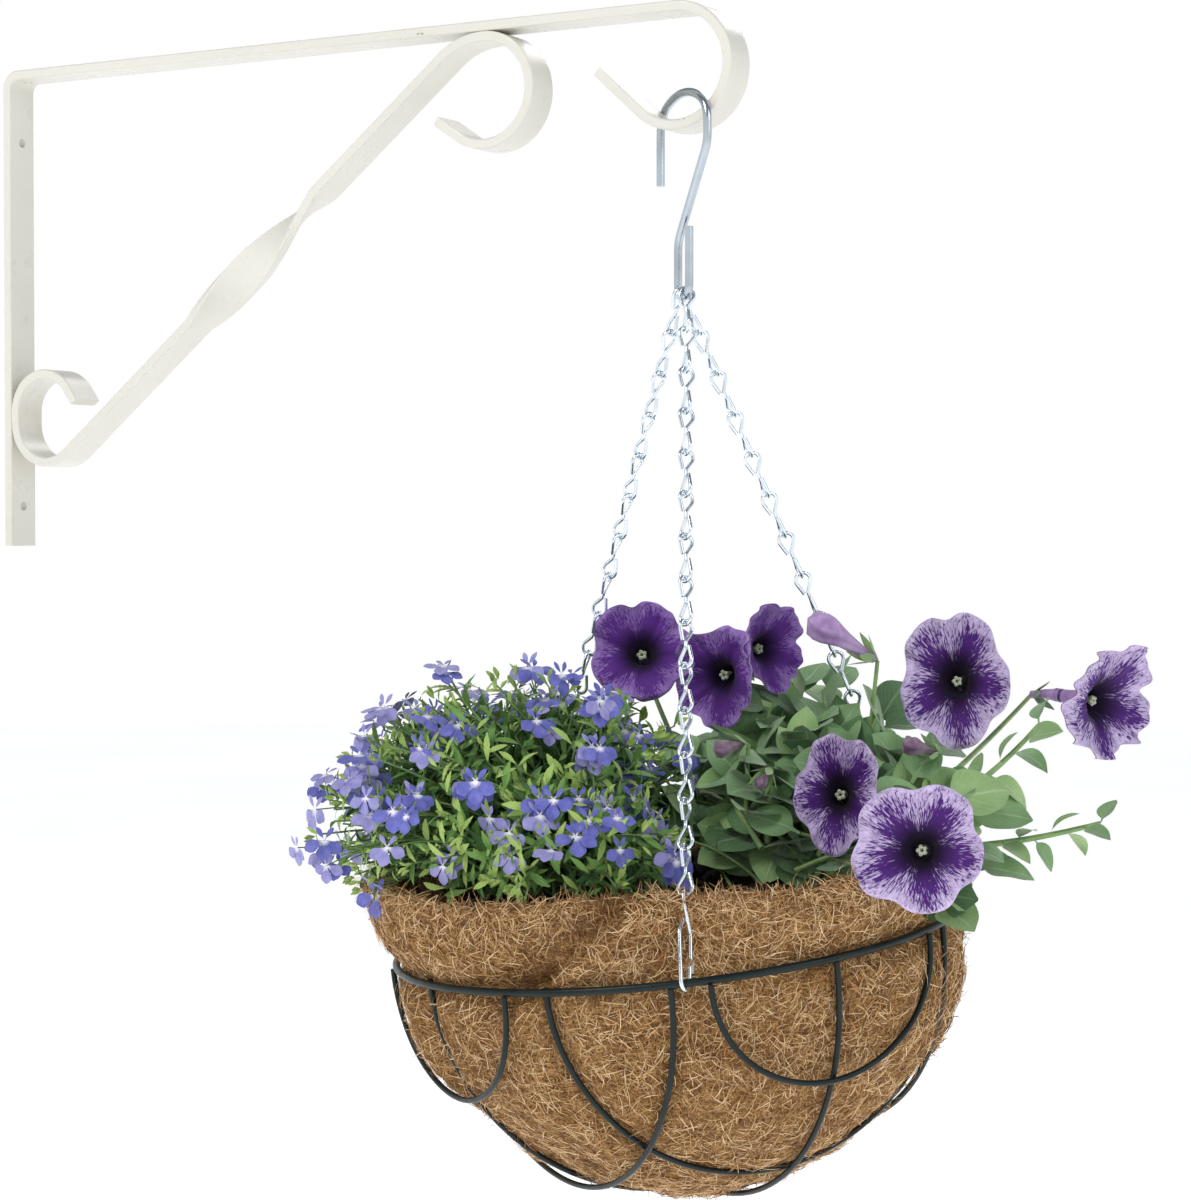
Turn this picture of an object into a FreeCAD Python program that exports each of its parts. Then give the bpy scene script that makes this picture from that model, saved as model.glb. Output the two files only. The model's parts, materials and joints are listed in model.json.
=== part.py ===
import FreeCAD, Part
import math
import os

import Sketcher
from FreeCAD import Placement, Rotation, Vector

# Hanging basket on its wall bracket, in millimetres.
# Origin: midway between the two wall screws, on the wall face. X runs out along the arm, Z is up.

SIZES = [
    # flat bar of the wall bracket
    ("bar_width", 22.0),
    ("bar_thickness", 5.5),
    ("bar_edge", 1.1),
    ("arm_top", 152.0),
    ("leg_bottom", -134.0),
    ("leg_corner", 8.0),
    ("screw_spacing", 220.0),
    ("screw_hole", 5.5),
    ("curl_reach", 461.5),
    ("curl_radius", 31.0),
    ("curl_turn", 222.0),
    ("curl_tip", 35.0),
    # brace with its two scrolls, measured on the middle of the bar
    ("upper_scroll_reach", 343.0),
    ("upper_scroll_radius", 29.25),
    ("upper_scroll_turn", 214.0),
    ("upper_scroll_tip", 17.0),
    ("brace_top_bend", 45.0),
    ("lower_scroll_centre", -59.75),
    ("lower_scroll_radius", 24.0),
    ("lower_scroll_flat", 7.0),
    ("lower_hook_radius", 22.0),
    ("lower_hook_turn", 144.0),
    ("lower_hook_tip", 10.0),
    ("twist_length", 114.0),
    ("twist_start", 118.0),
    # hook over the curl: heights are taken from the lowest point inside the curl
    ("hook_wire", 4.5),
    ("hook_turn", -35.0),
    ("bearing_play", 0.3),
    ("arch_half_width", 27.5),
    ("arch_height", 18.0),
    ("arch_side_radius", 15.0),
    ("arch_rise", 14.5),
    ("free_leg", 28.0),
    ("shank_drop", 6.0),
    ("shank_slope", 35.0),
    ("shank_bend", 16.0),
    ("eye_radius", 6.5),
    ("eye_depth", 86.0),
    ("eye_tip_depth", 56.0),
    # three strands of jack chain and their clips
    ("link_wire", 2.0),
    ("link_pitch", 23.5),
    ("link_loop_radius", 4.0),
    ("link_waist_bend", 3.0),
    ("link_waist_half", 0.8),
    ("link_end_aside", 2.2),
    ("link_end_height", 1.5),
    ("link_play", 0.2),
    ("clip_wire", 2.2),
    ("clip_reach", 44.0),
    ("clip_half_width", 3.9),
    ("clip_loop_half", 2.95),
    ("clip_loop_radius", 2.9),
    ("clip_shoulder", 7.0),
    ("clip_shoulder_bend", 4.0),
    ("clip_knee", 20.0),
    ("clip_knee_bend", 5.0),
    ("clip_foot_bend", 3.8),
    ("clip_latch_height", 12.5),
    ("clip_tab_width", 4.6),
    ("clip_tab_thickness", 1.4),
    ("clip_tab_length", 11.0),
    ("clip_tab_height", 5.5),
    ("clip_play", 0.1),
    ("clip_turn", -30.0),
    # how the ring hangs under the hook
    ("basket_yaw", 29.0),
    ("ring_offset_x", -2.5),
    ("ring_offset_y", -0.7),
    ("ring_drop", 425.58),
    ("ring_tilt_right", 6.732),
    ("ring_tilt_back", 2.224),
    # wire bowl
    ("ring_radius", 150.0),
    ("ring_wire", 4.0),
    ("rib_wire", 3.0),
    ("rib_spacing", 80.0),
    ("rib_turn", 30.0),
    ("bowl_depth", 141.0),
    ("rib_nesting", 3.5),
    ("rib_nesting_depth", 4.2),
    ("bowl_side_radius", 122.0),
    ("moon_half_width", 64.0),
    ("moon_offset", 137.7),
    ("moon_depth", 62.0),
    ("moon_arch", 58.0),
    ("moon_side_radius", 55.0),
    # coir liner and compost
    ("liner_gap", 3.0),
    ("liner_thickness", 9.0),
    ("liner_rise", 42.0),
    ("liner_flare", 5.0),
    ("compost_gap", 0.3),
    ("compost_rise", 22.0),
    ("compost_crown", 4.0),
    ("strand_clearance", 9.0),
    ("plant_gap", 1.0),
]

# strand: ring angle of its clip, number of links, place on the eye's bend away from straight down
STRANDS = {
    "front": (-89.5, 14, 41.0),
    "right": (22.0, 13, 0.0),
    "left": (126.0, 14, -41.0),
}

# plant mounds as spheres in the basket's own frame: centre and radius
LOBELIA_MOUND = [
    ((-88, -30, 48), 92),
    ((-60, -78, 34), 62),
    ((-112, 34, 42), 70),
    ((-134, -24, 62), 56),
]
PETUNIA_MOUND = [
    ((58, 22, 62), 82),
    ((98, -58, 44), 66),
    ((126, 30, 60), 64),
    ((20, 78, 78), 62),
    ((74, 62, 96), 62),
]
# petunia shoots that reach past the rim: from, to, radius
PETUNIA_SHOOTS = [
    ((140, 20, 70), (226, 14, 92), 26),
    ((130, -10, 44), (216, -24, -6), 15),
    ((110, -60, 40), (128, -128, 28), 30),
]
PLANT_DIVIDE = (-6.0, 14.0)

doc = FreeCAD.newDocument("hanging_basket")
sheet = doc.addObject("Spreadsheet::Sheet", "Sizes")
for row, (alias, value) in enumerate(SIZES, 1):
    sheet.set(f"A{row}", alias)
    sheet.set(f"B{row}", str(value))
    sheet.setAlias(f"B{row}", alias)
doc.recompute()

PIECES = []


def size(alias):
    return float(getattr(sheet, alias))


def piece(obj, label):
    """Registers a finished sub-part under the name of its file."""
    obj.Label = label
    PIECES.append(obj)
    return obj


class Trace:
    """A flat line of straight runs and tangent arcs, drawn like a pen that walks and turns."""

    def __init__(self, x, y, heading):
        self.x, self.y, self.heading = x, y, heading
        self.items = []

    def line(self, length):
        turn = math.radians(self.heading)
        start = Vector(self.x, self.y, 0)
        self.x += length * math.cos(turn)
        self.y += length * math.sin(turn)
        self.items.append(Part.LineSegment(start, Vector(self.x, self.y, 0)))
        return self

    def bend(self, radius, angle):
        """Turns by angle, positive to the left, round an arc of that radius."""
        side = 1 if angle > 0 else -1
        from_centre = math.radians(self.heading - 90 * side)
        cx = self.x - radius * math.cos(from_centre)
        cy = self.y - radius * math.sin(from_centre)

        def on_arc(share):
            a = from_centre + math.radians(angle) * share
            return Vector(cx + radius * math.cos(a), cy + radius * math.sin(a), 0)

        self.items.append(Part.Arc(on_arc(0), on_arc(0.5), on_arc(1)))
        self.x, self.y = on_arc(1).x, on_arc(1).y
        self.heading += angle
        return self


def origin_plane(body, role):
    return next(f for f in body.Origin.OriginFeatures if f.Role == role)


def add_sketch(body, name, role, offset=None):
    sketch = body.newObject("Sketcher::SketchObject", name)
    sketch.AttachmentSupport = [(origin_plane(body, role), "")]
    sketch.MapMode = "FlatFace"
    if offset is not None:
        sketch.AttachmentOffset = offset
    return sketch


def facing(at, heading, spin=0.0):
    """Placement of a section at a point (x, z) of a trace, its own X axis along the bar's width."""
    turn = math.radians(heading)
    along = Vector(math.cos(turn), 0, math.sin(turn))
    across = Vector(0, 1, 0)
    rotation = Rotation(across, along.cross(across), along, "ZXY")
    return Placement(Vector(at[0], 0, at[1]), rotation * Rotation(Vector(0, 0, 1), spin))


def bar_section(body, name, at, heading, spin=0.0):
    """Rounded rectangle of the flat bar, square to the heading."""
    sketch = add_sketch(body, name, "XY_Plane", facing(at, heading, spin))
    half_w, half_t, edge = size("bar_width") / 2, size("bar_thickness") / 2, size("bar_edge")
    corners = [(1, 1), (-1, 1), (-1, -1), (1, -1)]
    arcs = []
    for number, (sx, sy) in enumerate(corners):
        centre = Vector(sx * (half_w - edge), sy * (half_t - edge), 0)
        start = math.radians(90 * number)
        arcs.append(Part.ArcOfCircle(Part.Circle(centre, Vector(0, 0, 1), edge), start, start + math.pi / 2))
    for number, arc in enumerate(arcs):
        sketch.addGeometry(arc, False)
        following = arcs[(number + 1) % len(arcs)]
        sketch.addGeometry(Part.LineSegment(arc.EndPoint, following.StartPoint), False)
    return sketch


def path_sketch(body, name, trace):
    sketch = add_sketch(body, name, "XZ_Plane")
    for item in trace.items:
        sketch.addGeometry(item, False)
    return sketch


def sweep_along(body, name, section, path):
    pipe = body.newObject("PartDesign::AdditivePipe", name)
    pipe.Profile = section
    pipe.Spine = (path, [f"Edge{n + 1}" for n in range(path.GeometryCount)])
    pipe.Mode = "Standard"
    pipe.Transition = "Transformed"
    return pipe


def wire_body(name, trace, start, heading, wire_alias):
    """Round wire bent along a flat trace in the body's XZ plane."""
    body = doc.addObject("PartDesign::Body", name)
    path = path_sketch(body, f"{name}_path", trace)
    section = add_sketch(body, f"{name}_section", "XY_Plane", facing(start, heading))
    section.addGeometry(Part.Circle(Vector(0, 0, 0), Vector(0, 0, 1), size(wire_alias) / 2), False)
    section.addConstraint(Sketcher.Constraint("Coincident", 0, 3, -1, 1))
    section.addConstraint(Sketcher.Constraint("Diameter", 0, size(wire_alias)))
    section.renameConstraint(1, "gauge")
    section.setExpression("Constraints.gauge", f"Sizes.{wire_alias}")
    sweep_along(body, f"{name}_wire", section, path)
    return body


def oval(half_width, depth, side_radius):
    """Radius of the middle arc, and its half angle, of an arch with two side arcs and one middle arc."""
    inset = half_width - side_radius
    middle = (inset ** 2 + depth ** 2 - side_radius ** 2) / (2 * (depth - side_radius))
    return middle, math.degrees(math.atan2(inset, middle - depth))


def add_arch(trace, half_width, height, side_radius, side):
    """Walks a trace round an arch, turning to the left for side 1 and to the right for side -1."""
    middle, half_angle = oval(half_width, height, side_radius)
    trace.bend(side_radius, side * (90 - half_angle))
    trace.bend(middle, side * 2 * half_angle)
    trace.bend(side_radius, side * (90 - half_angle))
    return trace


# ---------------------------------------------------------------- wall bracket

def make_bracket_bar():
    """One bar bent into the wall leg, the arm and the curl that holds the hook."""
    body = doc.addObject("PartDesign::Body", "bracket_bar")
    middle = size("bar_thickness") / 2
    corner = size("leg_corner")
    start = (middle, size("leg_bottom"))
    trace = Trace(start[0], start[1], 90)
    trace.line(size("arm_top") - middle - corner - size("leg_bottom"))
    trace.bend(corner, -90)
    trace.line(size("curl_reach") - middle - corner)
    trace.bend(size("curl_radius"), -size("curl_turn"))
    trace.line(size("curl_tip"))
    path = path_sketch(body, "bar_path", trace)
    section = bar_section(body, "bar_section", start, 90)
    section.setExpression(".AttachmentOffset.Base.x", "Sizes.bar_thickness / 2")
    section.setExpression(".AttachmentOffset.Base.z", "Sizes.leg_bottom")
    sweep_along(body, "bent_bar", section, path)
    doc.recompute()
    before = body.Shape.Volume

    holes = add_sketch(body, "screw_holes", "YZ_Plane")
    for number, side in enumerate((1, -1)):
        centre = Vector(0, side * size("screw_spacing") / 2, 0)
        holes.addGeometry(Part.Circle(centre, Vector(0, 0, 1), size("screw_hole") / 2), False)
        holes.addConstraint(Sketcher.Constraint("PointOnObject", number, 3, -2))
        holes.addConstraint(Sketcher.Constraint("DistanceY", -1, 1, number, 3, centre.y))
        holes.addConstraint(Sketcher.Constraint("Diameter", number, size("screw_hole")))
        holes.renameConstraint(3 * number + 1, f"height_{number + 1}")
        holes.renameConstraint(3 * number + 2, f"hole_{number + 1}")
        holes.setExpression(f"Constraints.height_{number + 1}", f"{side} * Sizes.screw_spacing / 2")
        holes.setExpression(f"Constraints.hole_{number + 1}", "Sizes.screw_hole")
    pocket = body.newObject("PartDesign::Pocket", "screw_pocket")
    pocket.Profile = holes
    pocket.Type = 0
    pocket.setExpression("Length", "Sizes.bar_thickness * 2")
    pocket.Midplane = True
    doc.recompute()
    removed = before - body.Shape.Volume
    expected = 2 * math.pi * (size("screw_hole") / 2) ** 2 * size("bar_thickness")
    if abs(removed - expected) > 0.05 * expected:
        raise RuntimeError(f"screw holes removed {removed:.1f} mm3 instead of {expected:.1f}")
    return piece(body, "bracket_bar")


def face_to_middle():
    """From the leg's or the arm's far face, across its thickness, to the middle of the brace bar on it."""
    return size("bar_thickness") + size("bar_thickness") / 2


def brace_layout():
    """Slope and length of the straight part between the two scrolls."""
    on_leg = face_to_middle()
    low = Vector(on_leg + size("lower_scroll_radius"), size("lower_scroll_centre"), 0)
    under_arm = size("arm_top") - face_to_middle()
    high = Vector(size("upper_scroll_reach"), under_arm - size("brace_top_bend"), 0)
    span = high - low
    radii = size("lower_scroll_radius") + size("brace_top_bend")
    slope = math.degrees(math.atan2(span.y, span.x) + math.asin(radii / span.Length))
    return low, slope, math.sqrt(span.Length ** 2 - radii ** 2)


def make_brace():
    """Second bar: lower scroll, straight with a half twist, upper scroll under the arm."""
    low, slope, straight = brace_layout()
    on_leg = face_to_middle()
    lower_start = (on_leg, low.y)
    rising = Trace(low.x, low.y, slope)
    foot = Vector(math.sin(math.radians(slope)), -math.cos(math.radians(slope)), 0)
    rising.x += foot.x * size("lower_scroll_radius")
    rising.y += foot.y * size("lower_scroll_radius")
    rising.line(size("twist_start"))
    twist_from = (rising.x, rising.y)
    rising.line(size("twist_length"))
    twist_to = (rising.x, rising.y)

    body = doc.addObject("PartDesign::Body", "bracket_brace")
    scroll = Trace(twist_from[0], twist_from[1], slope + 180)
    scroll.line(size("twist_start"))
    scroll.bend(size("lower_scroll_radius"), -(90 + slope))
    scroll.line(size("lower_scroll_flat"))
    scroll.bend(size("lower_hook_radius"), -size("lower_hook_turn"))
    scroll.line(size("lower_hook_tip"))
    if abs(scroll.items[2].StartPoint.x - lower_start[0]) > 0.01:
        raise RuntimeError("the lower scroll does not meet the leg")
    path = path_sketch(body, "lower_path", scroll)
    section = bar_section(body, "lower_section", twist_from, slope + 180)
    sweep_along(body, "lower_scroll", section, path)
    doc.recompute()

    quarter_steps = 6
    twist = body.newObject("PartDesign::AdditiveLoft", "half_twist")
    sections = []
    for step in range(2 * quarter_steps + 1):
        share = step / (2 * quarter_steps)
        at = (twist_from[0] + (twist_to[0] - twist_from[0]) * share,
              twist_from[1] + (twist_to[1] - twist_from[1]) * share)
        sections.append(bar_section(body, f"twist_{step}", at, slope, -180 * share))
    twist.Profile = sections[0]
    twist.Sections = sections[1:]
    body.Tip = twist
    doc.recompute()

    crest = Trace(twist_to[0], twist_to[1], slope)
    crest.line(straight - size("twist_start") - size("twist_length"))
    crest.bend(size("brace_top_bend"), -slope)
    crest.bend(size("upper_scroll_radius"), -size("upper_scroll_turn"))
    crest.line(size("upper_scroll_tip"))
    path = path_sketch(body, "upper_path", crest)
    section = bar_section(body, "upper_section", twist_to, slope)
    pipe = sweep_along(body, "upper_scroll", section, path)
    body.Tip = pipe
    doc.recompute()
    return piece(body, "bracket_brace")


# ---------------------------------------------------------------- hook

def hook_place():
    inside_curl = size("arm_top") - 2 * size("curl_radius")
    return Placement(Vector(size("curl_reach"), 0, inside_curl + 2 * size("bearing_play")),
                     Rotation(Vector(0, 0, 1), size("hook_turn")))


def make_hook():
    """One wire: free leg, arch over the curl, slanting shank, and a narrow eye at the foot."""
    half = size("arch_half_width")
    spring = size("arch_rise") - size("arch_height")
    tip = (-half, spring - size("free_leg"))
    trace = Trace(tip[0], tip[1], 90)
    trace.line(size("free_leg"))
    add_arch(trace, half, size("arch_height"), size("arch_side_radius"), -1)
    slope, bend = math.radians(size("shank_slope")), size("shank_bend")
    sideways = half + size("eye_radius")
    slant = (sideways - 2 * bend * (1 - math.cos(slope))) / math.sin(slope)
    trace.line(size("shank_drop"))
    trace.bend(bend, -size("shank_slope"))
    trace.line(slant)
    trace.bend(bend, size("shank_slope"))
    trace.line(trace.y + size("eye_depth"))
    trace.bend(size("eye_radius"), 180)
    trace.line(size("eye_depth") - size("eye_tip_depth"))
    body = wire_body("hanging_hook", trace, tip, 90, "hook_wire")
    body.Placement = hook_place()
    return piece(body, "hanging_hook")


# ---------------------------------------------------------------- basket frame

def basket_place():
    """Where the ring's centre hangs and how the ring leans: its right and its back stand a little higher."""
    hook = hook_place()
    yaw = Rotation(Vector(0, 0, 1), size("basket_yaw"))
    offset = yaw.multVec(Vector(size("ring_offset_x"), size("ring_offset_y"), 0))
    lean = Rotation(Vector(0, 1, 0), -size("ring_tilt_right")) * Rotation(Vector(1, 0, 0), size("ring_tilt_back"))
    return Placement(hook.Base + offset - Vector(0, 0, size("ring_drop")), yaw * lean)


def on_ring(angle):
    turn = math.radians(angle)
    return Vector(math.cos(turn), math.sin(turn), 0) * size("ring_radius")


def square_to(direction, along):
    """The part of a direction that is square to another, at unit length."""
    rest = direction - along * direction.dot(along)
    return rest.normalize()


def eye_wire_at(name):
    """Middle and direction of the eye's wire under a strand's first link, in the world."""
    turn = math.radians(STRANDS[name][2])
    out = Vector(math.sin(turn), 0, -math.cos(turn)) * size("eye_radius")
    middle = Vector(0, 0, -size("eye_depth")) + out
    hook = hook_place()
    return hook.multVec(middle), hook.Rotation.multVec(Vector(math.cos(turn), 0, math.sin(turn)))


def strand_ends(name):
    """World points: bearing of the first link on the eye's wire, and the ring wire's centre in the clip."""
    foot = basket_place().multVec(on_ring(STRANDS[name][0]))
    middle, wire = eye_wire_at(name)
    bearing = size("hook_wire") / 2 + size("bearing_play")
    return middle + square_to(middle - foot, wire) * bearing, foot


def clip_axis(name):
    """Direction in which a clip's two legs lie apart."""
    top, foot = strand_ends(name)
    up = (top - foot).normalize()
    outward = basket_place().Rotation.multVec(on_ring(STRANDS[name][0]))
    return Rotation(up, size("clip_turn")).multVec(square_to(outward, up))


def first_link_axis(name):
    """Direction across the first link's upper loop, square to the eye's wire."""
    top, foot = strand_ends(name)
    up = (top - foot).normalize()
    return square_to(eye_wire_at(name)[1], up).cross(up)


def link_shape():
    """Jack-chain link: two loops square to each other, bent from one wire that passes down the waist."""
    loop, bend, wire = size("link_loop_radius"), size("link_waist_bend"), size("link_wire")
    crown = (size("link_pitch") + size("link_play")) / 2 + wire / 2
    centre = crown - loop
    waist = size("link_waist_half")
    reach = math.hypot(centre - waist, bend)
    lean = math.asin((loop + bend) / reach) - math.atan2(bend, centre - waist)
    wire_end = Vector(size("link_end_aside"), 0, size("link_end_height"))
    to_end = wire_end - Vector(0, 0, centre)
    leave = math.atan2(to_end.z, to_end.x) + math.acos(loop / to_end.Length)

    def on_loop(angle):
        return Vector(loop * math.cos(angle), 0, centre + loop * math.sin(angle))

    def on_bend(angle):
        return Vector(-bend + bend * math.cos(angle), 0, waist + bend * math.sin(angle))

    arrive = math.pi + lean
    half = [
        Part.LineSegment(wire_end, on_loop(leave)).toShape(),
        Part.Arc(on_loop(leave), on_loop((leave + arrive) / 2), on_loop(arrive)).toShape(),
        Part.LineSegment(on_loop(arrive), on_bend(lean)).toShape(),
        Part.Arc(on_bend(lean), on_bend(lean / 2), on_bend(0)).toShape(),
    ]
    turned = Placement(Vector(0, 0, 0), Rotation(Vector(0, 0, 1), 90) * Rotation(Vector(1, 0, 0), 180))
    other_half = []
    for edge in reversed(half):
        copy = edge.copy()
        copy.Placement = turned
        other_half.append(copy)
    through = Part.LineSegment(Vector(0, 0, waist), Vector(0, 0, -waist)).toShape()
    path = Part.Wire(Part.__sortEdges__(half + [through] + other_half))
    outward = on_loop(leave) - wire_end
    section = Part.Wire(Part.makeCircle(wire / 2, wire_end, outward))
    return path.makePipeShell([section], True, False)


def place_shape(name, shape, place):
    feature = doc.addObject("Part::Feature", name)
    feature.Shape = shape
    feature.Placement = place
    return piece(feature, name)


def make_strand(name, link):
    """Links from the eye down to the clip, turning a little from one to the next."""
    top, foot = strand_ends(name)
    up = (top - foot).normalize()
    first, last = first_link_axis(name), clip_axis(name)
    turn = math.degrees(first.getAngle(last))
    if first.cross(last).dot(up) < 0:
        turn = -turn
    if abs(turn) > 90:
        turn -= math.copysign(180, turn)
    links = STRANDS[name][1]
    pitch = ((top - foot).Length - size("clip_reach")) / links
    print(f"{name} strand: {links} links at {pitch:.3f} mm")
    for number in range(links):
        centre = top - up * (pitch * (number + 0.5))
        axis = Rotation(up, turn * number / (links - 1)).multVec(first)
        rotation = Rotation(axis, up.cross(axis), up, "ZXY")
        place_shape(f"{name}_link_{number + 1:02d}", link, Placement(centre, rotation))


def rounded_wire(points, radii):
    """Straight runs between points, with an arc of the given radius at each inner point."""
    edges = []
    here = points[0]
    for before, corner, after, radius in zip(points, points[1:], points[2:], radii):
        back, on = (before - corner).normalize(), (after - corner).normalize()
        half = back.getAngle(on) / 2
        reach = radius / math.tan(half)
        start, end = corner + back * reach, corner + on * reach
        middle = (back + on).normalize()
        top = corner + middle * (radius / math.sin(half) - radius)
        edges.append(Part.LineSegment(here, start).toShape())
        edges.append(Part.Arc(start, top, end).toShape())
        here = end
    edges.append(Part.LineSegment(here, points[-1]).toShape())
    return Part.Wire(edges)


def clip_shape():
    """Spring-wire clip: a small loop on top, crossing legs, a hook round the ring and a latch tab."""
    half, loop_half, wire = size("clip_half_width"), size("clip_loop_half"), size("clip_wire")
    play, latch = size("clip_play"), size("clip_latch_height")
    crown = size("clip_reach") + wire / 2
    under_ring = -(size("ring_wire") / 2 + wire / 2 + play)
    shoulder, knee = crown - size("clip_shoulder"), crown - size("clip_knee")
    beside = wire / 2 + play
    behind = -(half + 5 * play)
    tab_height, tab_length = size("clip_tab_height"), size("clip_tab_length")
    points = [
        Vector(behind + wire / 2 + play, beside, latch),
        Vector(behind + wire / 2 + 3 * play, beside, knee),
        Vector(loop_half, beside, shoulder),
        Vector(loop_half, 0, crown),
        Vector(-loop_half, 0, crown),
        Vector(-loop_half, -beside, shoulder),
        Vector(half, -beside, knee),
        Vector(half, 0, under_ring),
        Vector(behind, 0, under_ring),
        Vector(behind, 0, (tab_height + latch) / 2),
    ]
    shoulder_bend, knee_bend = size("clip_shoulder_bend"), size("clip_knee_bend")
    loop_bend, foot_bend = size("clip_loop_radius"), size("clip_foot_bend")
    radii = [knee_bend, shoulder_bend, loop_bend, loop_bend, shoulder_bend, knee_bend, foot_bend, foot_bend]
    path = rounded_wire(points, radii)
    section = Part.Wire(Part.makeCircle(wire / 2, points[0], points[1] - points[0]))
    bent = path.makePipeShell([section], True, False)
    width = size("clip_tab_width")
    corner = Vector(behind - wire / 2 - 3 * play, -width / 2, tab_height)
    tab = Part.makeBox(size("clip_tab_thickness"), width, tab_length, corner)
    return bent.fuse(tab).removeSplitter()


def make_clips():
    shape = clip_shape()
    for name in STRANDS:
        top, foot = strand_ends(name)
        up = (top - foot).normalize()
        axis = clip_axis(name)
        rotation = Rotation(axis, up.cross(axis), up, "ZXY")
        place_shape(f"{name}_clip", shape, Placement(foot, rotation))


# ---------------------------------------------------------------- wire bowl

def make_ring():
    ring = doc.addObject("Part::Torus", "rim_ring")
    ring.setExpression("Radius1", "Sizes.ring_radius")
    ring.setExpression("Radius2", "Sizes.ring_wire / 2")
    ring.Placement = basket_place()
    return piece(ring, "rim_ring")


def rib_body(name, offset, radius, depth, top, turn):
    """One long wire that hangs from the ring in an upright plane, offset from the bowl's middle."""
    shrink = math.sqrt(1 - (offset / radius) ** 2)
    half, drop = radius * shrink, depth * shrink
    side_radius = size("bowl_side_radius") * shrink * depth / size("bowl_depth")
    trace = Trace(-half, top, -90)
    if top > 0:
        trace.line(top)
    add_arch(trace, half, drop + min(top, 0), side_radius, 1)
    if top > 0:
        trace.line(top)
    body = wire_body(name, trace, (-half, top), -90, "rib_wire")
    turned = Rotation(Vector(0, 0, 1), turn)
    own = Placement(turned.multVec(Vector(0, offset, 0)), turned)
    body.Placement = basket_place().multiply(own)
    return piece(body, name)


def make_ribs():
    """Two sets of three parallel wires: one set beside the ring's inner side, the other under the ring."""
    nesting, turn = size("rib_nesting"), size("rib_turn")
    inner_depth = size("bowl_depth") - size("rib_nesting_depth")
    for number, side in enumerate((-1, 0, 1), 1):
        offset = side * size("rib_spacing")
        rib_body(f"inner_rib_{number}", offset, size("ring_radius") - nesting, inner_depth,
                 size("rib_wire") / 2, turn)
        rib_body(f"outer_rib_{number}", offset, size("ring_radius"), size("bowl_depth"),
                 -size("ring_wire") / 2, turn + 90)


def make_half_moons():
    """Four half-moon wires under the ring, one centred on every third rib end."""
    half, arch, depth = size("moon_half_width"), size("moon_arch"), size("moon_depth")
    top = -size("ring_wire") / 2
    trace = Trace(-half, top, -90)
    trace.line(depth + top - arch)
    add_arch(trace, half, arch, size("moon_side_radius"), 1)
    trace.line(depth + top - arch)
    master = wire_body("half_moon", trace, (-half, top), -90, "rib_wire")
    doc.recompute()
    moons = []
    for quarter in range(4):
        turned = Rotation(Vector(0, 0, 1), size("rib_turn") + 90 * quarter)
        copy = master.Shape.copy()
        copy.Placement = Placement(turned.multVec(Vector(0, size("moon_offset"), 0)), turned)
        moons.append(copy)
    place_shape("half_moon_wires", Part.makeCompound(moons), basket_place())


# ---------------------------------------------------------------- liner, compost and plants

def strand_channels():
    """Round channels that keep the soft pieces clear of the strands and clips, in the basket's frame."""
    to_basket = basket_place().inverse()
    tools = []
    for name in STRANDS:
        top, foot = (to_basket.multVec(point) for point in strand_ends(name))
        along = top - foot
        start = foot - along.normalize() * 10
        tools.append(Part.makeCylinder(size("strand_clearance"), 230, start, along))
    channels = doc.addObject("Part::Feature", "strand_channels")
    channels.Shape = tools[0].multiFuse(tools[1:])
    return channels


def bowl_half(trace_x, depth, side_radius):
    """Half section of the bowl from its rim at Z 0 down to the axis."""
    middle, half_angle = oval(trace_x, depth, side_radius)
    trace = Trace(trace_x, 0, -90)
    trace.bend(side_radius, -(90 - half_angle))
    trace.bend(middle, -half_angle)
    return trace.items


def revolve_body(name, outline):
    """Body turned about its Z axis from a closed outline in the XZ plane."""
    body = doc.addObject("PartDesign::Body", f"{name}_body")
    sketch = add_sketch(body, f"{name}_outline", "XZ_Plane")
    for item in outline:
        sketch.addGeometry(item, False)
    turned = body.newObject("PartDesign::Revolution", f"{name}_turned")
    turned.Profile = sketch
    turned.ReferenceAxis = (sketch, ["V_Axis"])
    turned.Angle = 360
    doc.recompute()
    return body


def segment(x0, z0, x1, z1):
    return Part.LineSegment(Vector(x0, z0, 0), Vector(x1, z1, 0))


def liner_sizes():
    outer = size("ring_radius") - size("rib_nesting") - size("liner_gap")
    depth = size("bowl_depth") - size("rib_nesting_depth") - size("liner_gap")
    return outer, depth


def cut_channels(body, channels, name):
    cut = doc.addObject("Part::Cut", name)
    cut.Base = body
    cut.Tool = channels
    doc.recompute()
    cut.Placement = basket_place()
    return piece(cut, name)


def make_liner(channels):
    """Coir bowl with a rim that stands above the ring."""
    outer, depth = liner_sizes()
    side = size("bowl_side_radius") - size("rib_nesting")
    wall, rise, flare = size("liner_thickness"), size("liner_rise"), size("liner_flare")
    outline = list(bowl_half(outer, depth, side))
    outline.append(segment(0, -depth, 0, -depth + wall))
    outline.extend(bowl_half(outer - wall, depth - wall, side - wall))
    outline.append(segment(outer - wall, 0, outer - wall + flare, rise))
    outline.append(segment(outer - wall + flare, rise, outer + flare, rise))
    outline.append(segment(outer + flare, rise, outer, 0))
    return cut_channels(revolve_body("liner", outline), channels, "coir_liner")


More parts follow.
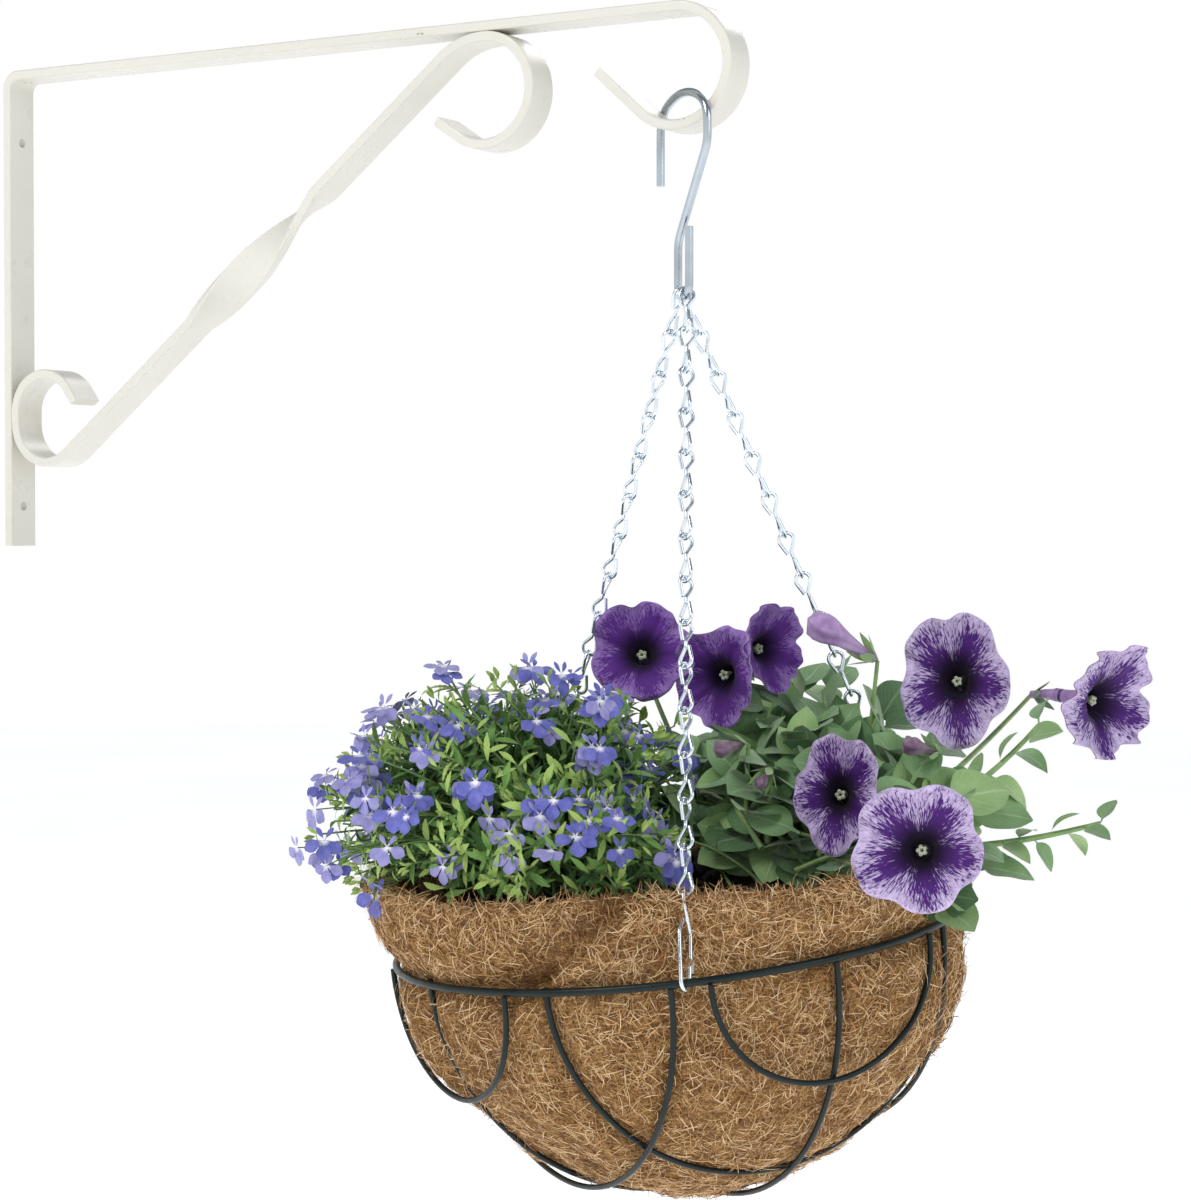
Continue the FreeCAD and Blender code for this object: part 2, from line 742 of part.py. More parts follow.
def make_compost(channels):
    """Compost that fills the liner to just below its rim."""
    outer, depth = liner_sizes()
    inset = size("liner_thickness") + size("compost_gap")
    side = size("bowl_side_radius") - size("rib_nesting") - inset
    rim = outer - inset
    rise, crown = size("compost_rise"), size("compost_crown")
    upper = rim + size("liner_flare") * rise / size("liner_rise")
    outline = list(bowl_half(rim, depth - inset, side))
    outline.append(segment(0, -depth + inset, 0, rise + crown))
    outline.append(segment(0, rise + crown, upper, rise))
    outline.append(segment(upper, rise, rim, 0))
    return cut_channels(revolve_body("compost", outline), channels, "compost")


def rim_keep_out():
    """Space of the liner and the compost, which the plants stay out of."""
    outer, _ = liner_sizes()
    gap = size("plant_gap")
    top, soil = size("liner_rise") + gap, size("compost_rise") + size("compost_crown") + gap
    inside = outer - size("liner_thickness") - gap
    block = Part.makeCylinder(outer + size("liner_flare") + 6, top + 200, Vector(0, 0, -200))
    bowl = Part.makeCylinder(inside, 300, Vector(0, 0, soil))
    return block.cut(bowl)


def divide_box(side):
    """Half space on one side of the upright plane between the two plants."""
    offset, lean = PLANT_DIVIDE
    reach = 600.0
    start = offset + size("plant_gap") / 2 if side > 0 else offset - size("plant_gap") / 2 - reach
    box = Part.makeBox(reach, 2 * reach, 2 * reach, Vector(start, -reach, -reach))
    box.rotate(Vector(offset, 0, 0), Vector(0, 0, 1), lean)
    return box


def make_plant(name, mound, shoots, side, channels):
    """Plain mound of foliage with room for the strands."""
    solids = [Part.makeSphere(radius, Vector(*centre)) for centre, radius in mound]
    for start, end, radius in shoots:
        run = Vector(*end) - Vector(*start)
        solids.append(Part.makeCylinder(radius, run.Length, Vector(*start), run))
        solids.append(Part.makeSphere(radius, Vector(*end)))
    shape = solids[0].multiFuse(solids[1:])
    shape = shape.common(divide_box(side)).cut(rim_keep_out()).cut(channels.Shape)
    largest = max(shape.Solids, key=lambda solid: solid.Volume)
    place_shape(name, largest, basket_place())


make_bracket_bar()
make_brace()
make_hook()
link = link_shape()
for strand in STRANDS:
    make_strand(strand, link)
make_clips()
make_ring()
make_ribs()
make_half_moons()
channels = strand_channels()
make_liner(channels)
make_compost(channels)
make_plant("lobelia_plant", LOBELIA_MOUND, [], -1, channels)
make_plant("petunia_plant", PETUNIA_MOUND, PETUNIA_SHOOTS, 1, channels)

doc.recompute()
for obj in doc.Objects:
    if "Invalid" in obj.State or "Error" in obj.State:
        raise RuntimeError(f"{obj.Label} did not compute: {obj.State}")
os.makedirs("parts", exist_ok=True)
for obj in PIECES:
    shape = obj.Shape
    if shape.isNull() or not shape.isValid() or not shape.Solids:
        raise RuntimeError(f"{obj.Label} has no valid solid")
    shape.exportStep(f"parts/{obj.Label}.step")
    print(f"{obj.Label}: {len(shape.Solids)} solid, {shape.Volume:.1f} mm3")
print(f"{len(PIECES)} pieces")
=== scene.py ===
"""Hanging basket on its wall bracket: materials, coir liner, compost, lobelia and petunias.

The plants and the liner are built in millimetres in the basket's own frame (X to the viewer's
right, Y away, Z up, origin at the middle of the rim ring) and then placed in the row's frame.
"""
import json
import math

import bpy
import numpy as np
from mathutils import Matrix, Vector
from mathutils.kdtree import KDTree


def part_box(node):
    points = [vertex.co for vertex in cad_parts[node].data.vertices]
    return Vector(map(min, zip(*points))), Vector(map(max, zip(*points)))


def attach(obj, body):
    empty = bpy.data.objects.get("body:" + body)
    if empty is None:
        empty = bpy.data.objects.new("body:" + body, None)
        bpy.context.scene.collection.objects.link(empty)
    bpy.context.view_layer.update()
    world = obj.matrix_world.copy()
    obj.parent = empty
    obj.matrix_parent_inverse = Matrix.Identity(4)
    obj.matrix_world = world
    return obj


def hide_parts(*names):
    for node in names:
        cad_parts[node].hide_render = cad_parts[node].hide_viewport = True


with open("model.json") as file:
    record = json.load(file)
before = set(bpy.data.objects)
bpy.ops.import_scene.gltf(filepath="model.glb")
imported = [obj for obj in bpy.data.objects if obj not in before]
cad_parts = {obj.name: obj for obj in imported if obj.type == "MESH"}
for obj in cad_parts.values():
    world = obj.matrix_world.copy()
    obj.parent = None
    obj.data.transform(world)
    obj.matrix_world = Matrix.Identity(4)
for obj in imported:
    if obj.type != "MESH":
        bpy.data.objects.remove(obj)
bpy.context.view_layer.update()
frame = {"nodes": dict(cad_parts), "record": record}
rng = np.random.default_rng(11)

# ---- frames ----

FULL_TURN = 2 * math.pi
UP = np.array([0, 0, 1.0])
RING_LOW, RING_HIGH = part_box("rim_ring")
RING_CENTRE = (Vector(RING_LOW) + Vector(RING_HIGH)) / 2
BASKET_YAW = math.radians(29.0)
RING_PITCH = math.radians(6.732)
RING_ROLL = math.radians(2.224)
# LEVEL is turned with the basket but stays upright; TILTED is the plane of the ring.
LEVEL = Matrix.Translation(RING_CENTRE) @ Matrix.Rotation(BASKET_YAW, 4, "Z")
TILTED = LEVEL @ Matrix.Rotation(-RING_PITCH, 4, "Y") @ Matrix.Rotation(RING_ROLL, 4, "X")
RING_RADIUS = 150.0
# Where the three chain strands stand on the ring, in degrees, and how much they lean in per unit of height.
FRONT_STRAND = -89.5
STRAND_ANGLES = (FRONT_STRAND, 22.0, 126.0)
STRAND_LEAN = 0.352
STRAND_TOP = np.array([2.5, 0.7, 345.0])


def to_world(points, matrix):
    """Points in millimetres of a basket frame, as metres in the row's frame."""
    m = np.array(matrix)
    flat = np.asarray(points, float).reshape(-1, 3) * 0.001
    return flat @ m[:3, :3].T + m[:3, 3]


def to_basket(points, matrix):
    """Points in metres of the row's frame, as millimetres in a basket frame."""
    m = np.array(matrix.inverted())
    return (np.asarray(points) @ m[:3, :3].T + m[:3, 3]) * 1000


def unit(v):
    """Vectors scaled to a length of one."""
    v = np.asarray(v, float)
    return v / np.maximum(np.linalg.norm(v, axis=-1, keepdims=True), 1e-9)


def smooth(low, high, x):
    """0 below low, 1 above high, with an even slope between."""
    t = np.clip((x - low) / (high - low), 0, 1)
    return t * t * (3 - 2 * t)


def joined(*parts):
    """Values that broadcast together, as a last axis of coordinates."""
    return np.stack(np.broadcast_arrays(*parts), -1)


def cross_axes(along, hint):
    """Two directions square to along, the first one also square to the hint."""
    side = unit(np.cross(along, hint))
    return side, np.cross(along, side)


def point_along(path, share):
    """The point at a share of a path's steps, and the number of the step that holds it."""
    steps = len(path) - 1
    at = share * steps
    i = min(int(at), steps - 1)
    return path[i] + (path[i + 1] - path[i]) * (at - i), i


# ---- mesh building ----

def add_object(name, data):
    made = bpy.data.objects.new(name, data)
    bpy.context.scene.collection.objects.link(made)
    return made


class Piece:
    """Collects grids of points and makes one object of them."""

    def __init__(self):
        self.points = []
        self.quads = []
        self.uvs = []
        self.slots = []
        self.count = 0

    def grid(self, points, uv, slot=0):
        """Adds grids of shape (..., rows, columns, 3), each with its own (rows, columns, 2) UV."""
        points = np.asarray(points, float)
        rows, columns = points.shape[-3:-1]
        many = points.reshape(-1, rows, columns, 3)
        uv = np.broadcast_to(uv, many.shape[:3] + (2,))
        index = np.arange(rows * columns).reshape(rows, columns)
        corners = [index[:-1, :-1], index[1:, :-1], index[1:, 1:], index[:-1, 1:]]
        quads = np.stack(corners, -1).reshape(-1, 4)
        starts = self.count + np.arange(len(many))[:, None, None] * rows * columns
        self.quads.append((quads[None] + starts).reshape(-1, 4))
        slots = np.broadcast_to(np.asarray(slot).reshape(-1, 1), (len(many), len(quads)))
        self.slots.append(slots.reshape(-1))
        self.points.append(many.reshape(-1, 3))
        self.uvs.append(uv.reshape(-1, 2))
        self.count += many.shape[0] * rows * columns

    def tube(self, path, radius, sides=6, slot=0):
        """Round tube along points (n, 3), radius a number or one per point."""
        path = np.asarray(path, float)
        side, other = cross_axes(unit(np.gradient(path, axis=0)), [0.3, 0.2, 1.0])
        turn = np.linspace(0, FULL_TURN, sides + 1)
        radius = np.broadcast_to(radius, len(path))[:, None, None]
        ring = side[:, None] * np.cos(turn)[:, None] + other[:, None] * np.sin(turn)[:, None]
        uv = joined(turn / FULL_TURN, np.linspace(0, 1, len(path))[:, None])
        self.grid(path[:, None] + ring * radius, uv, slot)

    def make(self, name, matrix, materials, slot, nodes=()):
        """Makes the object and puts it on the basket, in place of the CAD nodes named; the slot is not
        used.
        """
        points = to_world(np.concatenate(self.points), matrix)
        quads, uvs = np.concatenate(self.quads), np.concatenate(self.uvs)
        mesh = bpy.data.meshes.new(name)
        mesh.vertices.add(len(points))
        mesh.vertices.foreach_set("co", points.ravel())
        mesh.loops.add(quads.size)
        mesh.loops.foreach_set("vertex_index", quads.ravel().astype(np.int32))
        mesh.polygons.add(len(quads))
        mesh.polygons.foreach_set("loop_start", np.arange(0, quads.size, 4, dtype=np.int32))
        mesh.polygons.foreach_set("use_smooth", np.ones(len(quads), bool))
        for material in materials:
            mesh.materials.append(material)
        mesh.polygons.foreach_set("material_index", np.concatenate(self.slots).astype(np.int32))
        layer = mesh.uv_layers.new(name="UVMap")
        layer.data.foreach_set("uv", uvs[quads.ravel()].ravel())
        mesh.update(calc_edges=True)
        obj = add_object(name, mesh)
        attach(obj, "basket")
        if nodes:
            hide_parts(*nodes)


# ---- materials ----

BLACK, WHITE = (0, 0, 0), (1, 1, 1)


def grey(value):
    return (value,) * 3


class Shader:
    """A procedural material: short calls that add and link nodes."""

    def __init__(self, name, roughness=0.5, metallic=0.0, specular=0.5, sheen=0.0):
        self.material = bpy.data.materials.new(name)
        self.material.use_nodes = True
        self.tree = self.material.node_tree
        self.shader = self.tree.nodes["Principled BSDF"]
        settings = {"Roughness": roughness, "Metallic": metallic, "Specular IOR Level": specular,
                    "Sheen Weight": sheen, "Sheen Roughness": 0.5}
        for key, value in settings.items():
            self.shader.inputs[key].default_value = value
        self.place = self.tree.nodes.new("ShaderNodeTexCoord")

    def link(self, output, target):
        self.tree.links.new(output, target)

    def fill(self, target, value):
        """Links another node's output to a socket, or sets a plain number or colour on it."""
        if isinstance(value, bpy.types.NodeSocket):
            self.link(value, target)
        elif isinstance(value, tuple):
            target.default_value = (*value, 1.0)
        else:
            target.default_value = value

    def node(self, kind, **inputs):
        made = self.tree.nodes.new(kind)
        for key, value in inputs.items():
            self.fill(made.inputs[key], value)
        return made

    def noise(self, scale, detail=3.0, stretch=None, space="Object", distortion=0.0, rough=0.55):
        where = self.place.outputs[space]
        if stretch:
            mapping = self.node("ShaderNodeMapping", Vector=where)
            mapping.inputs["Scale"].default_value = stretch
            where = mapping.outputs["Vector"]
        made = self.node("ShaderNodeTexNoise", Vector=where, Scale=scale, Detail=detail, Roughness=rough,
                         Distortion=distortion)
        return made.outputs["Fac"]

    def ramp(self, fac, stops):
        made = self.node("ShaderNodeValToRGB", Fac=fac)
        elements = made.color_ramp.elements
        while len(elements) < len(stops):
            elements.new(0.5)
        for element, (position, colour) in zip(elements, stops):
            element.position = position
            element.color = (*colour, 1.0)
        return made.outputs["Color"]

    def fade(self, fac, first, last, start=BLACK, end=WHITE):
        """Colour that goes from start to end while fac goes from first to last."""
        return self.ramp(fac, [(first, start), (last, end)])

    def mottle(self, scale, detail, dark, light):
        """Two tones in soft patches."""
        return self.fade(self.noise(scale, detail), 0.3, 0.7, dark, light)

    def math(self, kind, a, b=0.0):
        made = self.tree.nodes.new("ShaderNodeMath")
        made.operation = kind
        self.fill(made.inputs[0], a)
        self.fill(made.inputs[1], b)
        return made.outputs["Value"]

    def mix(self, fac, a, b, blend="MIX"):
        made = self.tree.nodes.new("ShaderNodeMix")
        made.data_type = "RGBA"
        made.blend_type = blend
        # Inputs 0, 6 and 7 are the factor and the two colours; output 2 is the colour.
        self.fill(made.inputs[0], fac)
        self.fill(made.inputs[6], a)
        self.fill(made.inputs[7], b)
        return made.outputs[2]

    def uv(self):
        split = self.node("ShaderNodeSeparateXYZ", Vector=self.place.outputs["UV"])
        return split.outputs["X"], split.outputs["Y"]

    def colour(self, output):
        self.link(output, self.shader.inputs["Base Color"])

    def rough(self, output):
        self.link(output, self.shader.inputs["Roughness"])

    def bump(self, height, distance, strength):
        made = self.node("ShaderNodeBump", Height=height, Distance=distance, Strength=strength)
        self.link(made.outputs["Normal"], self.shader.inputs["Normal"])


def powder_coat():
    """Cream coat with small worn chips that come in patches."""
    m = Shader("cream_powder_coat", roughness=0.3)
    tone = m.mottle(9, 3, (0.70, 0.685, 0.615), (0.75, 0.735, 0.665))
    pits = m.fade(m.noise(300, 1), 0.76, 0.79)
    patches = m.fade(m.noise(14, 2), 0.52, 0.6)
    worn = m.mix(1.0, pits, patches, "MULTIPLY")
    m.colour(m.mix(worn, tone, (0.42, 0.38, 0.30)))
    m.rough(m.mottle(40, 3, grey(0.24), grey(0.38)))
    return m.material


def zinc(name, light, dark, roughness):
    m = Shader(name, metallic=1.0)
    m.colour(m.fade(m.noise(60, 2), 0.3, 0.65, dark, light))
    m.rough(m.mottle(120, 2, grey(roughness - 0.04), grey(roughness + 0.06)))
    m.bump(m.noise(300, 1), 0.00004, 0.12)
    return m.material


def green_coat():
    m = Shader("dark_green_coat", roughness=0.32, specular=0.28)
    m.colour(m.mottle(60, 3, (0.003, 0.008, 0.008), (0.008, 0.019, 0.018)))
    m.rough(m.fade(m.noise(220, 3), 0.3, 0.75, grey(0.26), grey(0.46)))
    m.bump(m.noise(700, 2), 0.0002, 0.3)
    return m.material


def coir_mat():
    """Matted strands that run both ways, in patches of paler and browner coir."""
    m = Shader("coir_mat", roughness=0.9, specular=0.15)
    long_way = m.noise(1, 4, stretch=(260, 260, 900), distortion=1.2)
    cross_way = m.noise(1, 4, stretch=(900, 700, 240), distortion=1.4)
    strands = m.mix(0.5, m.fade(long_way, 0.36, 0.66), m.fade(cross_way, 0.36, 0.66))
    tones = [(0.15, (0.13, 0.062, 0.022)), (0.5, (0.40, 0.215, 0.08)), (0.85, (0.68, 0.43, 0.19))]
    patch = m.mottle(22, 3, (0.72, 0.62, 0.52), WHITE)
    m.colour(m.mix(1.0, m.ramp(strands, tones), patch, "MULTIPLY"))
    m.bump(strands, 0.0015, 0.8)
    return m.material


def fibre(name, low, high):
    m = Shader(name, roughness=0.62, specular=0.3)
    m.colour(m.mottle(330, 2, low, high))
    return m.material


def soil():
    m = Shader("damp_compost", roughness=0.85, specular=0.25)
    grain = m.noise(420, 5)
    tones = [(0.3, (0.010, 0.006, 0.004)), (0.55, (0.035, 0.020, 0.012)), (0.8, (0.11, 0.065, 0.04))]
    m.colour(m.ramp(grain, tones))
    m.bump(grain, 0.0015, 0.9)
    return m.material


def leaf(name, dark, light, rib, roughness, sheen, side_veins):
    """Leaf with a pale midrib and side veins; UV X runs across the blade, UV Y along it."""
    m = Shader(name, roughness=roughness, specular=0.35, sheen=sheen)
    across, along = m.uv()
    tone = m.mottle(55, 3, dark, light)
    off = m.math("ABSOLUTE", m.math("SUBTRACT", across, 0.5))
    middle = m.fade(off, 0.0, 0.045, WHITE, BLACK)
    waves = m.math("SINE", m.math("MULTIPLY", m.math("SUBTRACT", along, off), side_veins))
    side = m.fade(waves, 0.86, 1.0, BLACK, grey(0.32))
    veins = m.mix(1.0, middle, side, "LIGHTEN")
    m.colour(m.mix(veins, tone, rib))
    m.bump(m.math("SUBTRACT", m.noise(500, 2), veins), 0.0006, 0.5)
    return m.material


def stem(name, dark, light):
    m = Shader(name, sheen=0.15)
    m.colour(m.mottle(90, 3, dark, light))
    m.bump(m.noise(900, 2), 0.0003, 0.4)
    return m.material


def lobelia_petal(name, blue, pale):
    """Petal with a white eye; UV Y runs from the flower's middle to the petal's tip."""
    m = Shader(name, roughness=0.6, specular=0.25, sheen=0.2)
    along = m.uv()[1]
    tone = m.fade(m.noise(170, 3), 0.25, 0.75, blue, pale)
    streak = m.fade(m.noise(1, 2, stretch=(16, 1.2, 1), space="UV"), 0.4, 0.6, grey(0.82), WHITE)
    tinted = m.mix(1.0, tone, streak, "MULTIPLY")
    eye = m.fade(along, 0.10, 0.30, WHITE, BLACK)
    m.colour(m.mix(eye, tinted, (0.86, 0.86, 0.92)))
    return m.material


def petunia_petal(name, throat, body, margin, edge, vein_strength):
    """Veined bloom; UV X runs once round the bloom, UV Y from the throat (0) to the edge (1)."""
    m = Shader(name, roughness=0.6, specular=0.16, sheen=0.06)
    around, out = m.uv()
    base = m.ramp(out, [(0.0, throat), (0.34, throat), (0.58, body), (1.0, body)])
    fine = m.noise(1, 4, stretch=(190, 11, 1), space="UV", distortion=0.7, rough=0.6)
    broad = m.noise(1, 2, stretch=(34, 3, 1), space="UV", distortion=0.3)
    veins = m.math("ADD", m.math("MULTIPLY", m.math("SUBTRACT", fine, 0.5), vein_strength),
                   m.math("MULTIPLY", m.math("SUBTRACT", broad, 0.5), 0.5))
    lobe = m.math("COSINE", m.math("MULTIPLY", around, 5 * FULL_TURN))
    reach = m.math("ADD", m.math("ADD", out, veins), m.math("MULTIPLY", lobe, -0.10))
    pale = m.ramp(reach, [(edge, BLACK), (edge + 0.10, grey(0.6)), (edge + 0.42, WHITE)])
    m.colour(m.mix(pale, base, margin))
    m.bump(fine, 0.0006, 0.5)
    return m.material


def plain_petal(name, low, high):
    m = Shader(name, roughness=0.55, specular=0.25, sheen=0.25)
    m.colour(m.mottle(120, 3, low, high))
    return m.material


COAT = powder_coat()
HOOK_ZINC = zinc("hook_zinc", (0.52, 0.58, 0.63), (0.42, 0.47, 0.52), 0.24)
CHAIN_ZINC = zinc("chain_zinc", (0.84, 0.91, 0.96), (0.66, 0.73, 0.80), 0.22)
GREEN = green_coat()
COIR = coir_mat()
FIBRES = [fibre("coir_straw", (0.62, 0.40, 0.19), (0.86, 0.64, 0.38)),
          fibre("coir_gold", (0.42, 0.225, 0.085), (0.60, 0.36, 0.155)),
          fibre("coir_brown", (0.12, 0.055, 0.02), (0.25, 0.12, 0.045))]
STRAW, GOLD, BROWN = 0, 1, 2
SOIL = soil()
# Dark tone, light tone, colour of the ribs, roughness, sheen, and how closely the side veins stand.
LOBELIA_LEAVES = [
    leaf("lobelia_leaf", (0.085, 0.22, 0.045), (0.21, 0.42, 0.09), (0.36, 0.55, 0.18), 0.42, 0.1, 60),
    leaf("lobelia_leaf_dark", (0.035, 0.11, 0.03), (0.09, 0.22, 0.055), (0.2, 0.36, 0.12), 0.45, 0.1, 60),
    leaf("lobelia_leaf_young", (0.30, 0.48, 0.10), (0.46, 0.62, 0.17), (0.6, 0.7, 0.3), 0.45, 0.1, 60),
]
PETUNIA_LEAVES = [
    leaf("petunia_leaf", (0.145, 0.285, 0.115), (0.25, 0.43, 0.19), (0.36, 0.52, 0.28), 0.62, 0.35, 46),
    leaf("petunia_leaf_dark", (0.07, 0.165, 0.065), (0.14, 0.275, 0.11), (0.22, 0.36, 0.17), 0.62, 0.3, 46),
    leaf("petunia_leaf_light", (0.23, 0.40, 0.14), (0.36, 0.55, 0.23), (0.46, 0.62, 0.34), 0.6, 0.35, 46),
]
PLAIN_LEAF, DARK_LEAF, YOUNG_LEAF = 0, 1, 2
LOBELIA_STEM = stem("lobelia_stem", (0.10, 0.22, 0.06), (0.24, 0.38, 0.12))
LOBELIA_PETALS = [lobelia_petal("lobelia_violet", (0.10, 0.11, 0.45), (0.22, 0.23, 0.66)),
                  lobelia_petal("lobelia_lilac", (0.25, 0.24, 0.58), (0.44, 0.42, 0.78))]
PETUNIA_STEM = stem("petunia_stem", (0.17, 0.30, 0.10), (0.33, 0.47, 0.18))
BLOOM_EDGED = petunia_petal("petunia_white_edged", (0.010, 0.002, 0.022), (0.070, 0.014, 0.17),
                            (0.66, 0.55, 0.80), 0.62, 1.5)
BLOOM_PURPLE = petunia_petal("petunia_purple", (0.012, 0.003, 0.028), (0.105, 0.026, 0.24),
                             (0.36, 0.22, 0.56), 0.66, 1.1)
BLOOM_BACK = plain_petal("petunia_outside", (0.30, 0.17, 0.42), (0.52, 0.36, 0.62))
BUD = plain_petal("petunia_bud", (0.10, 0.04, 0.12), (0.34, 0.24, 0.30))
STAMEN = plain_petal("petunia_stamen", (0.42, 0.50, 0.30), (0.70, 0.74, 0.58))

BY_SLOT = {"bracket_coat": COAT, "hook_zinc": HOOK_ZINC, "chain_zinc": CHAIN_ZINC, "basket_coat": GREEN}
for part in frame["record"]["subparts"]:
    material = BY_SLOT.get(part["material_slot"])
    if material:
        for holder in frame["nodes"][part["node"]].material_slots:
            holder.material = material

# ---- camera, light and stage ----

CAMERA_LENS = 85.23
CAMERA_PLACE = (1.17585, -1.31881, -0.12588)
CAMERA_AZIMUTH = math.radians(30.215)
CAMERA_DIP = math.radians(1.3625)
# Name, place, aim, width, watts, colour.
LIGHTS = [
    ("key_light", (-0.1, -1.9, 1.9), (0.4, 0, -0.2), 1.3, 32, (1.0, 0.985, 0.96)),
    ("fill_light", (2.3, -0.4, 0.9), (0.4, 0, -0.2), 1.2, 8, (0.95, 0.98, 1.0)),
    ("rim_light", (0.2, 2.2, 1.6), (0.45, 0, -0.2), 1.2, 12, WHITE),
]
HORIZON_END, OVERHEAD_START = 0.20, 0.50
OVERHEAD_COLOUR = (0.20, 0.215, 0.24, 1)
FLOOR_HEIGHT, FLOOR_REACH, FLOOR_GLOW = -0.85, 9.0, 0.76


def make_camera():
    data = bpy.data.cameras.new("camera")
    data.lens = CAMERA_LENS
    data.sensor_width = 36.0
    level = math.cos(CAMERA_DIP)
    back = Vector((math.sin(CAMERA_AZIMUTH) * level, -math.cos(CAMERA_AZIMUTH) * level,
                   math.sin(CAMERA_DIP)))
    camera = add_object("camera", data)
    camera.location = CAMERA_PLACE
    camera.rotation_euler = (-back).to_track_quat("-Z", "Y").to_euler()
    bpy.context.scene.camera = camera
    bpy.context.scene.view_settings.view_transform = "Standard"


def make_lights():
    for name, place, aim, size, watts, colour in LIGHTS:
        data = bpy.data.lights.new(name, "AREA")
        data.shape = "DISK"
        data.size = size
        data.energy = watts
        data.color = colour
        lamp = add_object(name, data)
        lamp.location = place
        lamp.rotation_euler = (Vector(aim) - Vector(place)).to_track_quat("-Z", "Y").to_euler()


def make_world():
    """White round the horizon and darker overhead, so that bright metal has something to show."""
    world = bpy.data.worlds.new("studio")
    world.use_nodes = True
    tree = world.node_tree
    place = tree.nodes.new("ShaderNodeTexCoord")
    split = tree.nodes.new("ShaderNodeSeparateXYZ")
    ramp = tree.nodes.new("ShaderNodeValToRGB")
    tree.links.new(place.outputs["Generated"], split.inputs["Vector"])
    tree.links.new(split.outputs["Z"], ramp.inputs["Fac"])
    horizon, overhead = ramp.color_ramp.elements
    horizon.position = HORIZON_END
    horizon.color = (*WHITE, 1)
    overhead.position = OVERHEAD_START
    overhead.color = OVERHEAD_COLOUR
    tree.links.new(ramp.outputs["Color"], tree.nodes["Background"].inputs["Color"])
    bpy.context.scene.world = world


def make_floor():
    """Wide pale disc under the basket, bright enough to read as white in the picture."""
    turn = np.linspace(0, FULL_TURN, 65)
    reach = np.linspace(0.001, FLOOR_REACH, 12)[:, None]
    points = joined(reach * np.cos(turn), reach * np.sin(turn), FLOOR_HEIGHT)
    m = Shader("pale_floor", roughness=0.95, specular=0.1)
    pale = m.mottle(1.5, 2, grey(0.90), grey(0.93))
    m.colour(pale)
    m.link(pale, m.shader.inputs["Emission Color"])
    m.shader.inputs["Emission Strength"].default_value = FLOOR_GLOW
    index = np.arange(points[..., 0].size).reshape(points.shape[:2])
    quads = np.stack([index[1:, :-1], index[1:, 1:], index[:-1, 1:], index[:-1, :-1]], -1)
    mesh = bpy.data.meshes.new("floor")
    mesh.from_pydata(points.reshape(-1, 3).tolist(), [], quads.reshape(-1, 4).tolist())
    mesh.materials.append(m.material)
    add_object("floor", mesh)


make_camera()
make_lights()
make_world()
make_floor()

# ---- soft noise for shapes ----

WAVE_COUNT = 24
WAVE_DIRECTIONS = rng.normal(size=(WAVE_COUNT, 3))
WAVE_PHASES = rng.uniform(0, FULL_TURN, WAVE_COUNT)


def soft_noise(points, scale, first=0, count=8):
    """Smooth noise of about -1 to 1 at points in millimetres, from the waves after the first ones."""
    directions, phases = WAVE_DIRECTIONS[first:first + count], WAVE_PHASES[first:first + count]
    return np.sin(np.asarray(points) @ directions.T / scale + phases).sum(-1) / math.sqrt(count)


# ---- coir liner ----

# The outside of the bowl: an arc down from the ring, then a wider arc under the middle, as in the CAD.
LINER_OUTER, LINER_SIDE, SIDE_TURN = 143.5, 118.5, math.radians(27.1)
MIDDLE_RADIUS, MIDDLE_HEIGHT = 146.6, 12.8
FOOT_GAP = 0.004
# How far the rim stands over the ring, how far it leans out, and how thick the mat is.
LINER_RISE, LINER_FLARE, LINER_WALL = 35.0, 9.0, 9.0
# Gap kept under a wire, how fast the mat swells beside it, and the limits of the mat's travel.
WIRE_CLEARANCE, WIRE_GIVE, MAT_TRAVEL = 3.1, 0.7, (-6.5, 10.0)
# Gap kept inside a strand, and half the width of its dent in the rim.
STRAND_GAP, FRONT_DENT, SIDE_DENT = 6.5, 44.0, 19.0
# The folded flap's edge passes through this X and Z with this slope.
FLAP_X, FLAP_Z, FLAP_SLOPE = -72.0, -2.0, 0.74
# Rows of the liner's grid over and under the ring, columns round it, and steps over the rim's edge.
RIM_ROWS, BOWL_ROWS, LINER_COLUMNS, EDGE_STEPS = 20, 84, 420, 9
# Edges of the wires' meshes longer than this get points at these shares of their length.
LONG_EDGE, EDGE_SHARES = 1.5, (0.17, 0.33, 0.5, 0.67, 0.83)


def bowl_profile():
    """Radius, height and outward direction down the liner's outside, from the ring to the foot."""
    side_rows = BOWL_ROWS // 3
    side = np.linspace(0, SIDE_TURN, side_rows, endpoint=False)
    low = np.linspace(SIDE_TURN, math.pi / 2 - FOOT_GAP, BOWL_ROWS - side_rows)
    side_radius = LINER_OUTER - LINER_SIDE + LINER_SIDE * np.cos(side)
    radius = np.concatenate([side_radius, MIDDLE_RADIUS * np.cos(low)])
    height = np.concatenate([-LINER_SIDE * np.sin(side), MIDDLE_HEIGHT - MIDDLE_RADIUS * np.sin(low)])
    turn = np.concatenate([side, low])
    return radius, height, np.cos(turn), -np.sin(turn)


